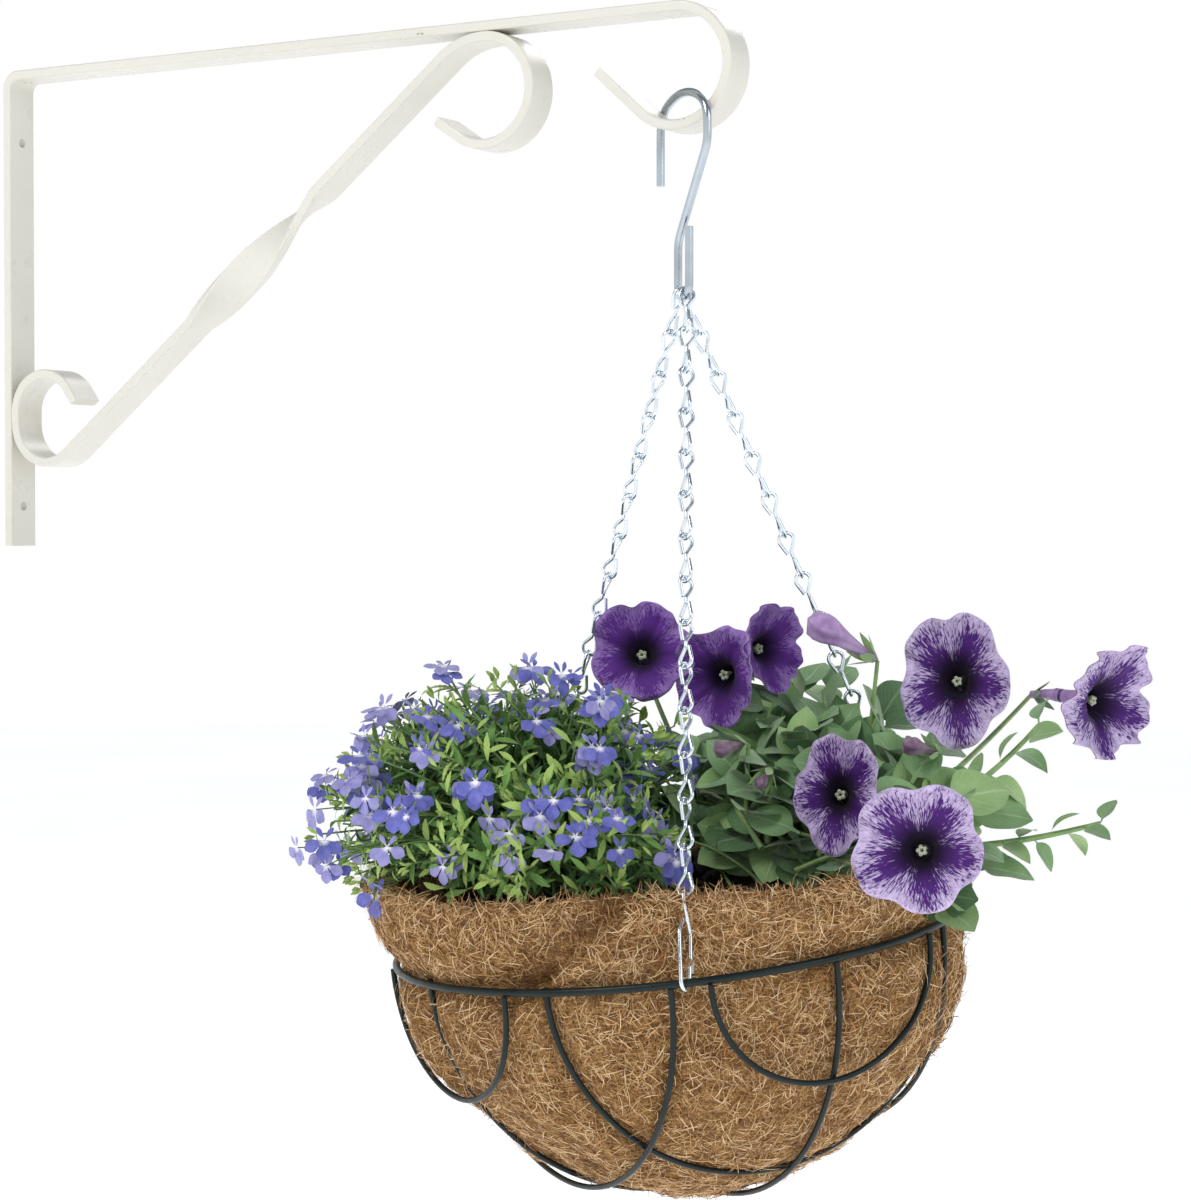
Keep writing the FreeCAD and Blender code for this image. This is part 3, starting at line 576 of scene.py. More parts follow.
def wire_tree():
    """Search tree of points all along the wires round the bowl, in the tilted basket frame."""
    points = []
    for name, node in frame["nodes"].items():
        if "rib" not in name and name not in ("rim_ring", "half_moon_wires"):
            continue
        flat = np.empty(len(node.data.vertices) * 3, np.float32)
        node.data.vertices.foreach_get("co", flat)
        corners = to_basket(flat.reshape(-1, 3), TILTED)
        ends = np.empty(len(node.data.edges) * 2, np.int32)
        node.data.edges.foreach_get("vertices", ends)
        first, last = corners[ends[::2]], corners[ends[1::2]]
        long = np.linalg.norm(last - first, axis=1) > LONG_EDGE
        points.append(corners)
        points += [(first + (last - first) * share)[long] for share in EDGE_SHARES]
    points = np.concatenate(points)
    tree = KDTree(len(points))
    for number, point in enumerate(points):
        tree.insert(point, number)
    tree.balance()
    return tree


WIRES = wire_tree()


def nearest_wire(points):
    """The nearest point of a wire to each point of the tilted basket frame."""
    return np.array([WIRES.find(p)[0] for p in points.reshape(-1, 3)]).reshape(points.shape)


def strand_dent(angle, height, radius):
    """How far the strands press the liner's rim in at a height above the ring."""
    dent = np.zeros_like(radius)
    for strand in STRAND_ANGLES:
        aside = (np.degrees(angle) - strand + 180) % 360 - 180
        width = np.radians(aside) * RING_RADIUS
        need = radius - (RING_RADIUS - STRAND_LEAN * height) + STRAND_GAP
        spread = FRONT_DENT if strand == FRONT_STRAND else SIDE_DENT
        pressed = np.clip(need, 0, None) * np.exp(-(width / spread) ** 2) * smooth(-14, 6, height)
        dent = np.maximum(dent, pressed)
    return dent


def above_flap(points):
    """Height above the slanting edge of the flap beside the front strand, and how marked it is there."""
    x, y, z = points[..., 0], points[..., 1], points[..., 2]
    edge = FLAP_Z + (x - FLAP_X) * FLAP_SLOPE
    marked = smooth(-110, -70, x) * (1 - smooth(-10, 4, x)) * (y < 0) * smooth(-22, -2, z)
    return z - edge, marked


def fold_step(points):
    """Inward step above the flap's edge, with the edge itself standing a little proud."""
    above, marked = above_flap(points)
    return (8.5 * smooth(-2.6, 3.0, above) - 3.0 * np.exp(-((above + 4.5) / 4.0) ** 2)) * marked


def mat_offset(centre, normal):
    """How far the mat stands out: full and lumpy between the wires, and pressed in under them."""
    lump = (3.2 * soft_noise(centre, 26, 0) + 1.3 * soft_noise(centre, 9, 8)
            + 0.7 * soft_noise(centre, 4, 16))
    fullness = 3.0 + 3.5 * smooth(-95, -25, centre[..., 2])
    nearest = nearest_wire(centre) - centre
    outward = (nearest * normal).sum(-1)
    aside = np.linalg.norm(nearest - normal * outward[..., None], axis=-1)
    pressed = np.clip(outward + WIRE_GIVE * aside - WIRE_CLEARANCE, *MAT_TRAVEL)
    return np.minimum(lump + fullness, pressed)


def make_liner():
    """The mat's skin: the inside of the rim, over its edge, and down the outside to the foot."""
    angle = np.linspace(0, FULL_TURN, LINER_COLUMNS + 1)
    radius, height, out_r, out_z = bowl_profile()
    lift = np.linspace(1, 0, RIM_ROWS, endpoint=False)
    radius = np.concatenate([LINER_OUTER + LINER_FLARE * (1 - (1 - lift) ** 2), radius])
    height = np.concatenate([LINER_RISE * lift, height])
    out_r = np.concatenate([np.ones(RIM_ROWS), out_r])[:, None]
    out_z = np.concatenate([np.zeros(RIM_ROWS), out_z])[:, None]
    a, r = np.meshgrid(angle, radius)
    centre = joined(r * np.cos(a), r * np.sin(a), height[:, None])
    level_out = joined(np.cos(a), np.sin(a), 0)
    normal = joined(out_r * np.cos(a), out_r * np.sin(a), out_z)
    dent = strand_dent(a, centre[..., 2], r) + fold_step(centre)
    outer = centre + normal * mat_offset(centre, normal)[..., None] - level_out * dent[..., None]
    rim = (1.2 * soft_noise(centre, 30, 4) + 0.9 * soft_noise(centre, 8, 12)
           - 6.0 * np.cos(a) - 2.0 * np.sin(a))
    outer[..., 2] += np.clip(centre[..., 2] / LINER_RISE, 0, 1) ** 2 * rim
    wall = LINER_WALL + 0.8 * soft_noise(centre, 12, 10)

    top = outer[0]
    inward = -level_out[0]
    half = wall[0][:, None] / 2
    turns = np.linspace(0, math.pi, EDGE_STEPS)[-2:0:-1]
    over = [top + inward * half * (1 - math.cos(t)) + UP * half * 0.8 * math.sin(t) for t in turns]
    inner = outer[:RIM_ROWS] + inward * wall[:RIM_ROWS][..., None]
    skin = np.concatenate([inner[::-1], np.array(over), outer])
    skin[:, -1] = skin[:, 0]
    piece = Piece()
    piece.grid(skin, joined(angle / FULL_TURN, np.linspace(0, 1, len(skin))[:, None]))
    piece.make("coir_shell", TILTED, [COIR], "coir", ["coir_liner"])
    return skin


def surface_at(skin, row, column):
    """Point and outward direction of the liner's skin at fractional rows and columns."""
    rows, columns = skin.shape[0] - 1, skin.shape[1] - 1
    row = np.clip(row, 0, rows - 1.001)
    column = column % columns
    i, j = row.astype(int), column.astype(int)
    u, v = (row - i)[..., None], (column - j)[..., None]
    a, b, c, d = skin[i, j], skin[i + 1, j], skin[i, j + 1], skin[i + 1, j + 1]
    point = a * (1 - u) * (1 - v) + b * u * (1 - v) + c * (1 - u) * v + d * u * v
    normal = unit(np.cross(c - a, b - a) * -1)
    return point, normal


# A fibre's points, its width at each as a share, and the radius of the bowl it bends round.
FIBRE_STEPS = 4
FIBRE_TAPER = np.array([0.7, 1.0, 0.95, 0.35])
BOWL_RADIUS = 140.0
# A fibre with a point higher than this over the nearest wire and closer than this to it is left out.
OVER_WIRE, BY_WIRE = -0.6, 4.0


def make_fibres(skin, name, count, columns, rows, length, lift, width):
    """Short curved fibres on the skin between two shares of its columns and two of its rows."""
    drop = rng.uniform(0, 1, count) ** 1.15
    row = rows[0] + (rows[1] - rows[0]) * drop
    column = rng.uniform(*columns, count) * (skin.shape[1] - 1)
    point, normal = surface_at(skin, row, column)
    aim = unit(np.cross(normal, rng.normal(size=(count, 3))))
    long = rng.uniform(*length, count)
    bend = rng.normal(0, 0.55, count)
    height = rng.uniform(*lift, count)
    side = np.cross(normal, aim)
    path = []
    s = np.linspace(0, 1, FIBRE_STEPS)
    for step in s:
        turned = aim * np.cos(bend * step)[:, None] + side * np.sin(bend * step)[:, None]
        hump = height * math.sin(math.pi * (0.15 + 0.85 * step) * 0.8)
        path.append(point + turned * (long * step)[:, None] + normal * hump[:, None])
    path = np.stack(path, 1)
    sag = s ** 2 * (long / 2 / BOWL_RADIUS * long)[:, None] * 0.5
    path = path - normal[:, None] * sag[..., None]
    roll = rng.normal(0, 0.6, count)
    flat = side * np.cos(roll)[:, None] + normal * np.sin(roll)[:, None]
    half = (rng.uniform(*width, count) / 2)[:, None, None] * flat[:, None] * FIBRE_TAPER[:, None]
    ribbon = np.stack([path - half, path + half], 2)

    # Painted shade and light at the flap: extra brown fibres in the pocket above its edge stand for the
    # shadow there, and extra straw fibres on the proud strip just below the edge stand for its lit face.
    above, marked = above_flap(point)
    painted_pocket_shade = marked * smooth(-1, 3, above) * (1 - smooth(9, 24, above))
    proud = marked * smooth(-14, -5, above) * (1 - smooth(-3, 0, above))
    draw = rng.uniform(0, 1, count)
    straw = draw < 0.42 * (1 - painted_pocket_shade) + 0.35 * proud
    brown = draw > 0.82 - 0.6 * painted_pocket_shade + 0.15 * proud
    tone = np.where(straw, STRAW, np.where(brown, BROWN, GOLD))
    past = path - nearest_wire(path)
    over_wire = (past * normal[:, None]).sum(-1) > OVER_WIRE
    by_wire = np.linalg.norm(past, axis=-1) < BY_WIRE
    free = ~(over_wire & by_wire).any(1)
    piece = Piece()
    piece.grid(ribbon[free], joined(np.array([0.0, 1.0]), s[:, None]), tone[free])
    piece.make(name, TILTED, FIBRES, "coir")


def make_coir():
    skin = make_liner()
    for quarter in range(4):
        make_fibres(skin, f"coir_fibres_{quarter + 1}", 12000, (quarter / 4, (quarter + 1) / 4),
                    (14, len(skin) - 2), (5, 14), (0.2, 1.4), (0.25, 0.55))
    make_fibres(skin, "coir_rim_fibres", 4200, (0, 1), (16, 32), (3, 8), (0.3, 1.8), (0.25, 0.5))


make_coir()

# ---- compost ----

COMPOST_TOP = 23.0
# Radius at which the top starts to fall, its outer radius, and how far it falls.
COMPOST_SHOULDER, COMPOST_EDGE, COMPOST_FALL = 125, 134.5, 10
CRUMBS, CRUMB_REACH = 900, 126


def make_compost():
    piece = Piece()
    turn = np.linspace(0, FULL_TURN, 121)
    reach = np.concatenate([np.linspace(0.5, COMPOST_SHOULDER, 44), [131, COMPOST_EDGE]])[:, None]
    ground = joined(reach * np.cos(turn), reach * np.sin(turn), 0)
    top = COMPOST_TOP + 1.8 * soft_noise(ground, 14, 2) + 1.0 * soft_noise(ground, 5, 9)
    ground[..., 2] = top - COMPOST_FALL * smooth(COMPOST_SHOULDER - 1, COMPOST_EDGE - 0.5, reach)
    ground[:, -1] = ground[:, 0]
    piece.grid(ground, joined(turn / FULL_TURN, np.linspace(0, 1, len(reach))[:, None]))

    where = np.sqrt(rng.uniform(0, 1, CRUMBS)) * CRUMB_REACH
    way = rng.uniform(0, FULL_TURN, CRUMBS)
    size = rng.uniform(0.8, 2.8, CRUMBS)
    lat = np.linspace(-1.45, 1.45, 5)[:, None]
    lon = np.linspace(0, FULL_TURN, 7)
    ball = joined(np.cos(lat) * np.cos(lon), np.cos(lat) * np.sin(lon), np.sin(lat) * 0.75)
    height = COMPOST_TOP + size * 0.5 + rng.normal(0, 1, CRUMBS)
    centre = joined(where * np.cos(way), where * np.sin(way), height)
    squash = rng.uniform(0.6, 1.3, (CRUMBS, 1, 1, 3))
    piece.grid(centre[:, None, None] + ball * squash * size[:, None, None, None], np.zeros((5, 7, 2)))
    piece.make("compost_crumb", TILTED, [SOIL], "compost", ["compost"])


make_compost()

# ---- leaves and stems ----

# Half widths of a blade from its foot to its tip, as shares of its width.
LOBELIA_OUTLINE = [0.22, 0.30, 0.42, 0.62, 0.74, 0.98, 0.84, 1.0, 0.80, 0.82, 0.50, 0.36, 0.06]
SLIM_OUTLINE = [0.3, 0.55, 0.8, 0.95, 1.0, 0.9, 0.7, 0.4, 0.06]
OVATE_OUTLINE = [0.09, 0.10, 0.12, 0.58, 0.84, 0.96, 1.0, 0.99, 0.94, 0.86, 0.74, 0.56, 0.30, 0.04]
FLOWER_OUTLINE = [0.14, 0.22, 0.42, 0.74, 0.96, 1.0, 0.72, 0.16]


def curve(start, end, rise, steps):
    """Points from start to end that leave the ground upright and arch over."""
    start, end = np.asarray(start, float), np.asarray(end, float)
    s = np.linspace(0, 1, steps)[:, None]
    control = start * 0.55 + end * 0.45 + UP * rise
    return start * (1 - s) ** 2 + control * 2 * s * (1 - s) + end * s ** 2


def blade(piece, base, aim, up, length, width, outline, slot, bend, fold, wave=0.0, columns=5):
    """One leaf or petal blade, bent down over its length and folded up along its middle."""
    aim = unit(aim)
    side = unit(np.cross(aim, up))
    up = np.cross(side, aim)
    s = np.linspace(0, 1, len(outline))
    angle = bend * s
    step = length / (len(outline) - 1)
    forward = np.concatenate([[0], np.cumsum(np.cos(angle[1:]) * step)])
    drop = np.concatenate([[0], np.cumsum(np.sin(angle[1:]) * step)])
    spine = base + aim * forward[:, None] - up * drop[:, None]
    t = np.linspace(-1, 1, columns)
    half = np.asarray(outline)[:, None] * width / 2
    ripple = wave * np.sin(s[:, None] * 9 + t * 2)
    lifted = (fold * np.abs(t) ** 1.3 + ripple) * half
    points = spine[:, None] + side * (half * t)[..., None] + up * lifted[..., None]
    piece.grid(points, joined((t + 1) / 2, s[:, None]), slot)


def face_axes(facing):
    """Unit facing of a flower, with the directions to its right and up."""
    facing = unit(facing)
    right = unit(np.cross(UP, facing))
    return facing, right, np.cross(facing, right)


def mound_points(spheres, count, inset, keep):
    """Points spread over the outside of a union of spheres, with their outward directions."""
    centres = np.array([centre for centre, radius in spheres], float)
    radii = np.array([radius for centre, radius in spheres], float)
    found, normals = [], []
    share = radii ** 2 / (radii ** 2).sum()
    while len(found) < count:
        pick = rng.choice(len(radii), p=share)
        way = unit(rng.normal(size=3))
        bumpy = 1 + 0.09 * soft_noise(way * 30, 9, 3)
        point = centres[pick] + way * radii[pick] * rng.uniform(*inset) * bumpy
        apart = np.linalg.norm(centres - point, axis=1) - radii * inset[0]
        apart[pick] = 1
        if (apart > 0).all() and keep(point, way):
            found.append(point)
            normals.append(way)
    return np.array(found), np.array(normals)


def strand_clear(point, margin):
    """True if a point in the level frame is clear of all three strands."""
    for strand in STRAND_ANGLES:
        a = math.radians(strand)
        foot = np.array([RING_RADIUS * math.cos(a), RING_RADIUS * math.sin(a), 0.0])
        foot[2] = foot[0] * math.sin(RING_PITCH) + foot[1] * math.sin(RING_ROLL)
        along = unit(STRAND_TOP - foot)
        rest = point - foot
        if np.linalg.norm(rest - along * (rest @ along)) < margin:
            return False
    return True


# ---- lobelia ----

# Centre and radius of the spheres that the plant fills.
LOBELIA_MOUND = [((-86, -24, 54), 86), ((-58, -76, 30), 58), ((-110, 34, 50), 68),
                 ((-132, -24, 60), 56), ((-44, 34, 62), 62)]
LOBELIA_SHOOTS, LOBELIA_FLOWERING = 560, 112
ROOT_REACH = 118
# Angle, length and width of each petal: three broad lower ones, then two small upper ones.
FLOWER_PETALS = [(-90, 1.0, 0.74), (-30, 0.98, 0.70), (-150, 0.98, 0.70), (58, 0.72, 0.26),
                 (122, 0.72, 0.26)]
# Turn from one leaf to the next round a shoot, in radians.
LEAF_TURN = 2.4


def lobelia_flower(piece, centre, facing, size, slot):
    """Two small upper petals and three broad lower ones round a white eye."""
    facing, right, up = face_axes(facing)
    for angle, long, wide in FLOWER_PETALS:
        a = math.radians(angle + rng.normal(0, 5))
        tip = right * math.cos(a) + up * math.sin(a) + facing * rng.uniform(0.0, 0.35)
        blade(piece, centre, tip, facing, size * 0.55 * long, size * 0.5 * wide, FLOWER_OUTLINE, slot,
              bend=rng.uniform(0.1, 0.55), fold=rng.uniform(-0.1, 0.15))


def lobelia_place(point, way):
    """True where a lobelia shoot may end: on the left, over the compost and clear of the strands."""
    over_rim = point[2] < 30 and math.hypot(point[0], point[1]) < RING_RADIUS
    return (way[2] > -0.35 and point[2] > 18 and not over_rim and point[0] < 2
            and strand_clear(point, 13) and not (point[1] > 30 and rng.uniform() < 0.4))


def lobelia_slot(share):
    """Material of a leaf at a share of its shoot: young at the tip and dark low down."""
    if share > 0.9 and rng.uniform() < 0.7:
        return YOUNG_LEAF
    if share < 0.62 or rng.uniform() < 0.15:
        return DARK_LEAF
    return PLAIN_LEAF


def shoot_leaves(leaves, path, out):
    """Narrow toothed leaves in a spiral round a shoot."""
    along = unit(np.gradient(path, axis=0))
    spin = rng.uniform(0, 6.28)
    for k, share in enumerate(np.linspace(0.42, 0.99, 10)):
        base, i = point_along(path, share)
        turn = spin + k * LEAF_TURN
        side, other = cross_axes(along[i], [0.2, 0.1, 1.0])
        radial = side * math.cos(turn) + other * math.sin(turn)
        aim = radial + along[i] * 0.7 + UP * 0.25
        long = rng.uniform(10, 22) * (1.2 - 0.5 * share)
        slot = lobelia_slot(share)
        lie = along[i] + radial * 0.2 + out * 0.3
        blade(leaves, base, aim, lie, long, long * rng.uniform(0.20, 0.31), LOBELIA_OUTLINE, slot,
              bend=rng.uniform(0.2, 1.0), fold=rng.uniform(0.15, 0.5), columns=3)


def shoot_flowers(flowers, stems, path, out):
    """One or two flowers at the end of a shoot, each on a thin stalk."""
    for _ in range(rng.integers(1, 3)):
        away = unit(out + rng.normal(0, 0.5, 3) + np.array([0, -0.3, 0]))
        centre = path[-1] + away * rng.uniform(6, 13)
        stems.tube(curve(path[-2], centre, 1, 4), 0.4, 3)
        look = unit(out * 0.8 + np.array([0.1, -0.7, 0.1]) + rng.normal(0, 0.42, 3))
        lobelia_flower(flowers, centre, look, rng.uniform(17, 23), rng.choice(2, p=[0.5, 0.5]))


def shoot_buds(leaves, tip, out):
    """Three small closed leaves round the end of a shoot that does not flower."""
    for _ in range(3):
        centre = tip + unit(out + rng.normal(0, 0.5, 3)) * rng.uniform(2, 5)
        aim = out + rng.normal(0, 0.4, 3)
        blade(leaves, centre, aim, np.cross(out, UP) + 0.1, 6, 2.4, SLIM_OUTLINE, YOUNG_LEAF,
              bend=0.2, fold=0.8)


def make_lobelia():
    leaves, flowers, stems = Piece(), Piece(), Piece()
    tips, normals = mound_points(LOBELIA_MOUND, LOBELIA_SHOOTS, (0.74, 1.0), lobelia_place)
    flowering = rng.permutation(len(tips))[:LOBELIA_FLOWERING]
    for number, (tip, out) in enumerate(zip(tips, normals)):
        root = np.array([-62 + rng.normal(0, 26), -12 + rng.normal(0, 34), 26.0])
        far = math.hypot(root[0], root[1])
        if far > ROOT_REACH:
            root[:2] *= ROOT_REACH / far
        path = curve(root, tip, 14 + rng.uniform(-6, 16), 9)
        stems.tube(path, np.linspace(0.95, 0.5, 9), 4)
        shoot_leaves(leaves, path, out)
        if number in flowering:
            shoot_flowers(flowers, stems, path, out)
        elif rng.uniform() < 0.5:
            shoot_buds(leaves, tip, out)
    leaves.make("lobelia_leaves", LEVEL, LOBELIA_LEAVES, "lobelia", ["lobelia_plant"])
    stems.make("lobelia_stems", LEVEL, [LOBELIA_STEM], "lobelia")
    flowers.make("lobelia_flowers", LEVEL, LOBELIA_PETALS, "lobelia")


make_lobelia()

# ---- petunias ----

PETUNIA_MOUND = [((56, 16, 44), 62), ((96, -52, 34), 54), ((106, 24, 50), 54), ((26, 70, 60), 58),
                 ((78, 62, 78), 54)]
PETUNIA_SHOOTS = 150
PETALS = 5
# Throat, facing, size, white-edged, squeeze, cup, ruffle, roll, root of the stem.
BLOOMS = [
    ((-20, 44, 144), (-0.05, -0.90, 0.25), 56, False, (1.0, 1.0), 0.30, 0.12, 0.3, (14, 40, 60)),
    ((22, 34, 131), (-0.42, -0.80, -0.12), 55, False, (0.95, 1.05), 0.45, 0.12, 1.1, (30, 40, 60)),
    ((48, 46, 146), (0.55, -0.62, 0.05), 50, False, (1.0, 0.95), 0.50, 0.10, 2.0, (46, 44, 70)),
    ((148, 22, 130), (-0.22, -0.92, 0.10), 68, True, (0.88, 1.10), 0.28, 0.11, 0.6, (120, 30, 60)),
    ((226, 10, 119), (0.64, -0.62, -0.08), 66, True, (0.92, 1.0), 0.40, 0.13, 1.7, (128, 10, 66)),
    ((80, -74, 78), (-0.15, -0.90, 0.15), 58, True, (0.80, 1.12), 0.45, 0.17, 2.6, (76, -40, 44)),
    ((116, -130, 56), (-0.12, -0.93, 0.12), 62, True, (1.04, 1.0), 0.20, 0.12, 0.9, (104, -70, 36)),
]
# Materials of a bloom's piece, and of the buds' piece.
FACE, BACK, MIDDLE = 0, 1, 2
PALE_BUD, DARK_BUD = 0, 1
# Foot, tip, width, material: one half-open bloom, then withered and young buds.
BUDS = [
    ((104, 10, 142), (68, -2, 164), 7.6, PALE_BUD),
    ((34, -36, 100), (18, -46, 98), 4.6, DARK_BUD),
    ((46, -52, 88), (40, -60, 80), 3.4, DARK_BUD),
    ((132, -44, 96), (114, -54, 102), 4.8, DARK_BUD),
]
# Widths of a bud from foot to tip, at these shares of its length.
BUD_SHARES = [0, 0.2, 0.5, 0.72, 0.88, 0.97, 1.0]
BUD_WIDTHS = [0.30, 0.36, 0.62, 0.95, 1.0, 0.62, 0.05]
TUBE_WIDTHS = np.array([1.05, 0.95, 0.8, 0.66, 0.6, 0.6])
# Root, tip, rise and thickness of the shoots that leave the basket on the right.
TRAILING_SHOOTS = [
    ((128, -30, 46), (216, -40, 60), -6, 2.1),
    ((120, 0, 60), (190, 0, 108), -18, 2.1),
]
TRAILING_STEPS, TRAILING_TURN = 12, 2.5
# Space kept free in front of a bloom, behind its face, beside its edge, down its tube and round its tube.
FACE_FRONT, FACE_BACK, FACE_SIDE, TUBE_BACK, TUBE_SIDE = 40, -14, 5, -34, 9


def bloom(piece, throat, facing, size, squeeze, cup, ruffle, roll):
    """Trumpet of five joined petals; squeeze narrows it across and up, and cup closes it.

    Gives back the point where the trumpet's tube starts.
    """
    facing, right, up = face_axes(facing)
    turn = np.linspace(0, FULL_TURN, 121)
    out = np.linspace(0, 1, 26)[:, None]
    radius = size / 2
    lobe = 0.5 + 0.5 * np.cos(PETALS * turn + roll)
    notch = 1 - 0.15 * (1 - lobe) ** 2.6
    # Each petal has its own length and its own bend forward or back.
    petal_turn = (FULL_TURN * np.arange(PETALS) - roll) / PETALS
    apart = (turn[:, None] - petal_turn + math.pi) % FULL_TURN - math.pi
    share = np.exp(-apart ** 2 / 0.30)
    share = share / share.sum(1, keepdims=True)
    longer = share @ rng.uniform(-0.10, 0.10, PETALS)
    bent = share @ rng.uniform(-0.26, 0.30, PETALS)
    spread = 0.11 + 0.89 * smooth(0.14, 1.0, out) ** 0.9 * (1 + (notch - 1 + longer) * out ** 2)
    depth = -0.85 * (1 - smooth(0.0, 0.55, out)) ** 1.5 - cup * 0.25 + cup * out ** 2
    swell = 0.55 * np.sin(10 * turn + roll * 2) + 0.5 * np.sin(3 * turn + 1.3 + roll)
    wave = ruffle * out ** 2.5 * (swell + 0.35 * np.sin(17 * turn + roll))
    ridge = 0.075 * smooth(0.35, 0.8, out) * lobe ** 3 - 0.10 * out ** 2 * (1 - lobe) ** 6
    curl = -0.15 * smooth(0.84, 1.0, out) * (0.3 + lobe)
    across = (radius * spread * np.cos(turn) * squeeze[0])[..., None]
    above = (radius * spread * np.sin(turn) * squeeze[1])[..., None]
    ahead = (radius * (depth + wave + ridge + curl + bent * out ** 2))[..., None]
    points = throat + right * across + up * above + facing * ahead
    points[:, -1] = points[:, 0]
    uv = joined((turn + roll / PETALS) / FULL_TURN, out)
    piece.grid(points, uv, FACE)
    piece.grid((points - facing * 0.7)[:, ::-1], uv[:, ::-1], BACK)
    return throat - facing * radius * (0.85 + cup * 0.25)


def trumpet_tube(piece, start, facing, length, wide):
    """Narrow tube behind a bloom, from its throat to its sepals; gives back its end."""
    facing = unit(facing)
    s = np.linspace(0, 1, len(TUBE_WIDTHS))[:, None]
    path = start + facing * 3.0 - facing * (length * s) - UP * 2.0 * s ** 2
    piece.tube(path, wide * TUBE_WIDTHS, 12, BACK)
    return path[-1]


def bud(piece, foot, tip, wide, slot):
    """Rolled petals: a fluted club from the sepals to a blunt tip."""
    s = np.linspace(0, 1, 12)[:, None]
    axis = tip - foot
    side, other = cross_axes(unit(axis), [0.2, 0.4, 1.0])
    turn = np.linspace(0, FULL_TURN, 41)
    flute = 1 + 0.14 * np.cos(PETALS * turn + 2.4 * s * math.pi)
    radius = flute * (wide * np.interp(s, BUD_SHARES, BUD_WIDTHS))
    ring = (side * np.cos(turn)[:, None] + other * np.sin(turn)[:, None]) * radius[..., None]
    piece.grid((foot + axis * s)[:, None] + ring, joined(turn / FULL_TURN, s), slot)


def sepals(piece, foot, facing, length, slot=PLAIN_LEAF):
    facing = unit(facing)
    side, other = cross_axes(facing, [0.1, 0.3, 1.0])
    for k in range(PETALS):
        a = k * FULL_TURN / PETALS
        out = side * math.cos(a) + other * math.sin(a)
        blade(piece, foot, facing + out * 0.55, out, length, length * 0.3, SLIM_OUTLINE, slot,
              bend=-0.25, fold=0.2)


def stamens(piece, throat, facing):
    """Five filaments in the throat, each with a small anther."""
    facing = unit(facing)
    side = unit(np.cross(facing, UP))
    other = np.cross(side, facing)
    for k in range(PETALS):
        a = k * 1.257
        end = throat + facing * 1.5 + (side * math.cos(a) + other * math.sin(a)) * 1.8
        piece.tube(np.linspace(throat - facing * 9, end, 4), [0.45, 0.45, 0.45, 1.0], 6, MIDDLE)
        piece.tube(np.linspace(end - facing * 0.9, end + facing * 1.2, 3), [1.0, 1.2, 0.2], 6, MIDDLE)


def clear_of_blooms(point):
    """False for points in front of a bloom's face or inside its trumpet."""
    for throat, facing, size, *rest in BLOOMS:
        facing = unit(facing)
        away = np.asarray(point) - throat
        ahead = away @ facing
        aside = np.linalg.norm(away - facing * ahead)
        if FACE_BACK < ahead < FACE_FRONT and aside < size * 0.5 + FACE_SIDE:
            return False
        if TUBE_BACK < ahead <= FACE_BACK and aside < TUBE_SIDE:
            return False
    return True


def petunia_blooms(leaves, stems):
    for number, (throat, facing, size, edged, squeeze, cup, ruffle, roll, root) in enumerate(BLOOMS, 1):
        piece = Piece()
        throat = np.array(throat, float)
        start = bloom(piece, throat, facing, size, squeeze, cup, ruffle, roll)
        foot = trumpet_tube(piece, start, facing, size * 0.30, size * 0.055)
        stamens(piece, throat - unit(facing) * size * 0.14, facing)
        face = BLOOM_EDGED if edged else BLOOM_PURPLE
        piece.make(f"petunia_bloom_{number}", LEVEL, [face, BLOOM_BACK, STAMEN], "petunia")
        sepals(leaves, foot, facing, 15)
        stems.tube(curve(root, foot, -4, 9), np.linspace(1.9, 1.2, 9), 8)


def petunia_buds(leaves, stems):
    piece = Piece()
    for foot, tip, wide, slot in BUDS:
        foot, tip = np.array(foot, float), np.array(tip, float)
        bud(piece, foot, tip, wide, slot)
        neck = foot - unit(tip - foot) * 2
        sepals(leaves, neck, tip - foot, 15 if slot == DARK_BUD else 18, YOUNG_LEAF)
        root = np.array([foot[0] * 0.9 + 4, foot[1] + 12, 50.0])
        stems.tube(curve(root, neck, 2, 9), np.linspace(1.6, 1.1, 9), 8)
    piece.make("petunia_buds", LEVEL, [BLOOM_BACK, BUD], "petunia")


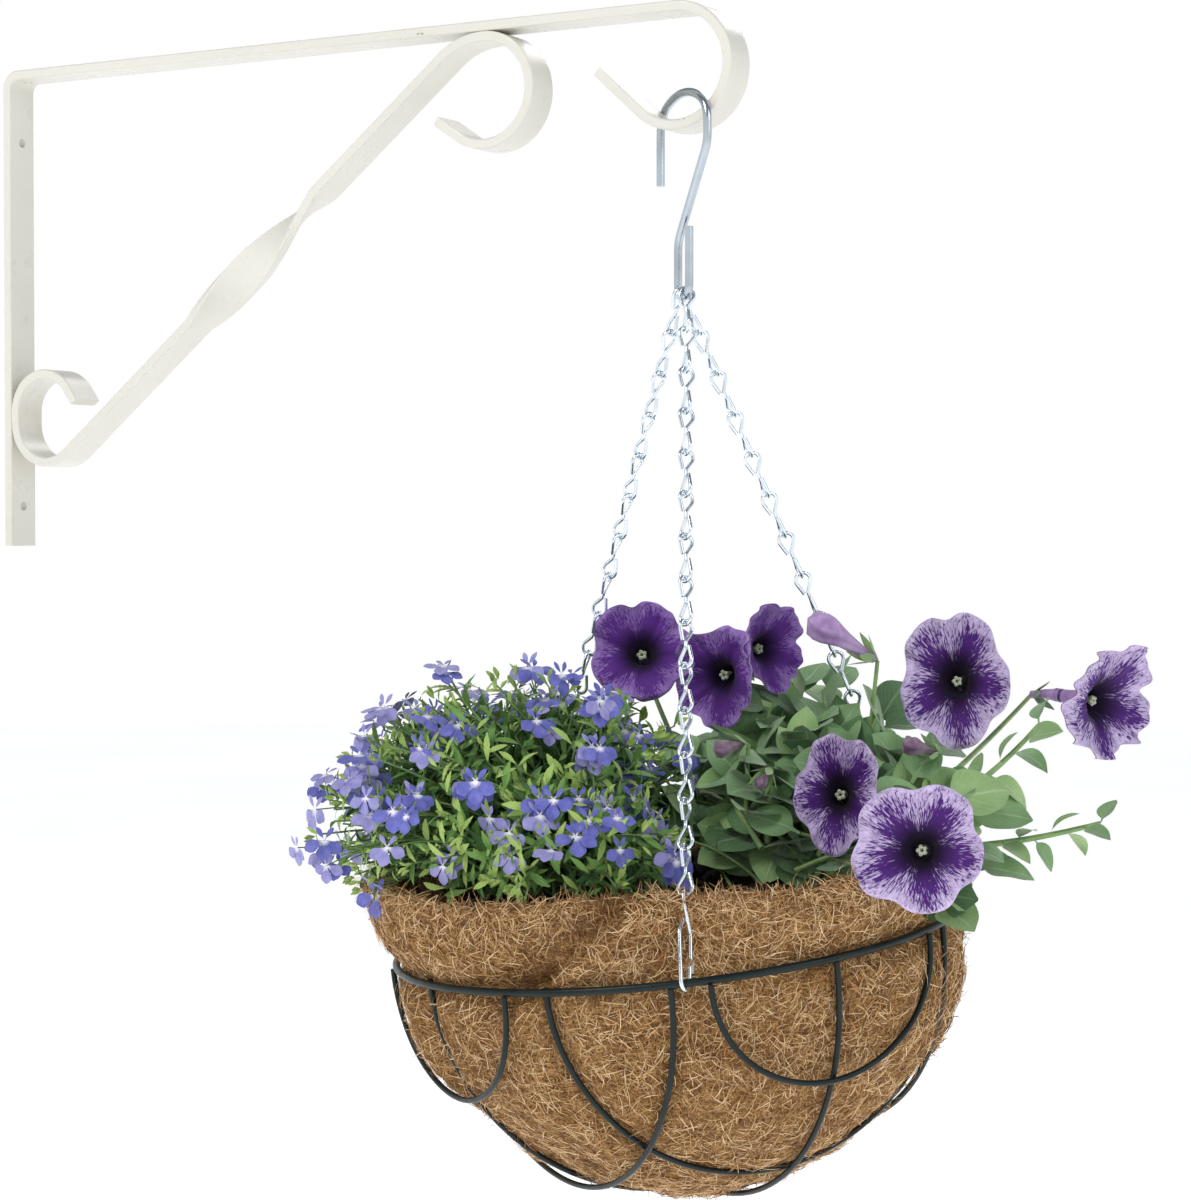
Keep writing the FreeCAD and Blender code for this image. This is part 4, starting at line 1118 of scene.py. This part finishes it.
def trailing_shoots(leaves, stems):
    """Thick shoots that leave the basket on the right, with leaves in turn along them."""
    for root, tip, rise, thick in TRAILING_SHOOTS:
        path = curve(root, tip, rise, TRAILING_STEPS)
        stems.tube(path, np.linspace(thick, thick * 0.6, TRAILING_STEPS), 8)
        along = unit(np.gradient(path, axis=0))
        for k in range(4, TRAILING_STEPS):
            turn = k * TRAILING_TURN
            side = unit(np.cross(along[k], UP))
            other = np.cross(side, along[k])
            aim = along[k] * 0.6 + side * math.cos(turn) + other * math.sin(turn)
            if not clear_of_blooms(path[k] + unit(aim) * 16):
                continue
            long = rng.uniform(20, 30)
            wide = long * rng.uniform(0.38, 0.5)
            slot = rng.choice([PLAIN_LEAF, YOUNG_LEAF])
            blade(leaves, path[k], aim, other + side * 0.3, long, wide, OVATE_OUTLINE, slot,
                  bend=rng.uniform(0.3, 1.1), fold=0.3, wave=0.05)


def petunia_place(point, way):
    """True where a petunia shoot may end: on the right, but not in the gap beside the front strand."""
    over_rim = point[2] < 40 and math.hypot(point[0], point[1]) < RING_RADIUS
    front_gap = point[1] < -62 and point[0] < 62
    return (way[2] > -0.25 and point[2] > 24 and not over_rim and point[0] > 2 and not front_gap
            and strand_clear(point, 20) and clear_of_blooms(point))


def petunia_foliage(leaves, stems):
    """Broad leaves near the ends of short shoots all over the mound."""
    tips, normals = mound_points(PETUNIA_MOUND, PETUNIA_SHOOTS, (0.66, 1.0), petunia_place)
    for tip, out in zip(tips, normals):
        root = np.array([66 + rng.normal(0, 24), 6 + rng.normal(0, 30), 26.0])
        path = curve(root, tip, 8 + rng.uniform(-4, 10), 8)
        stems.tube(path[2:], np.linspace(1.6, 0.9, 6), 6)
        for share in (0.70, 0.86, 1.0):
            base = point_along(path, share)[0]
            aim = unit(out + rng.normal(0, 0.55, 3) + np.array([0, -0.25, 0.05]))
            long = rng.uniform(24, 40)
            if not (clear_of_blooms(base + aim * long) and clear_of_blooms(base + aim * long * 0.5)):
                continue
            if share > 0.8:
                slot = rng.choice([PLAIN_LEAF, DARK_LEAF, YOUNG_LEAF], p=[0.5, 0.2, 0.3])
            else:
                slot = rng.choice([PLAIN_LEAF, DARK_LEAF])
            lie = np.array([0, -0.5, 0.8]) + out * 0.6 + rng.normal(0, 0.25, 3)
            blade(leaves, base, aim, lie, long, long * rng.uniform(0.66, 0.86), OVATE_OUTLINE, slot,
                  bend=rng.uniform(0.1, 0.9), fold=rng.uniform(0.05, 0.3), wave=0.05)


def make_petunias():
    leaves, stems = Piece(), Piece()
    petunia_blooms(leaves, stems)
    petunia_buds(leaves, stems)
    trailing_shoots(leaves, stems)
    petunia_foliage(leaves, stems)
    leaves.make("petunia_leaves", LEVEL, PETUNIA_LEAVES, "petunia", ["petunia_plant"])
    stems.make("petunia_stems", LEVEL, [PETUNIA_STEM], "petunia")


make_petunias()
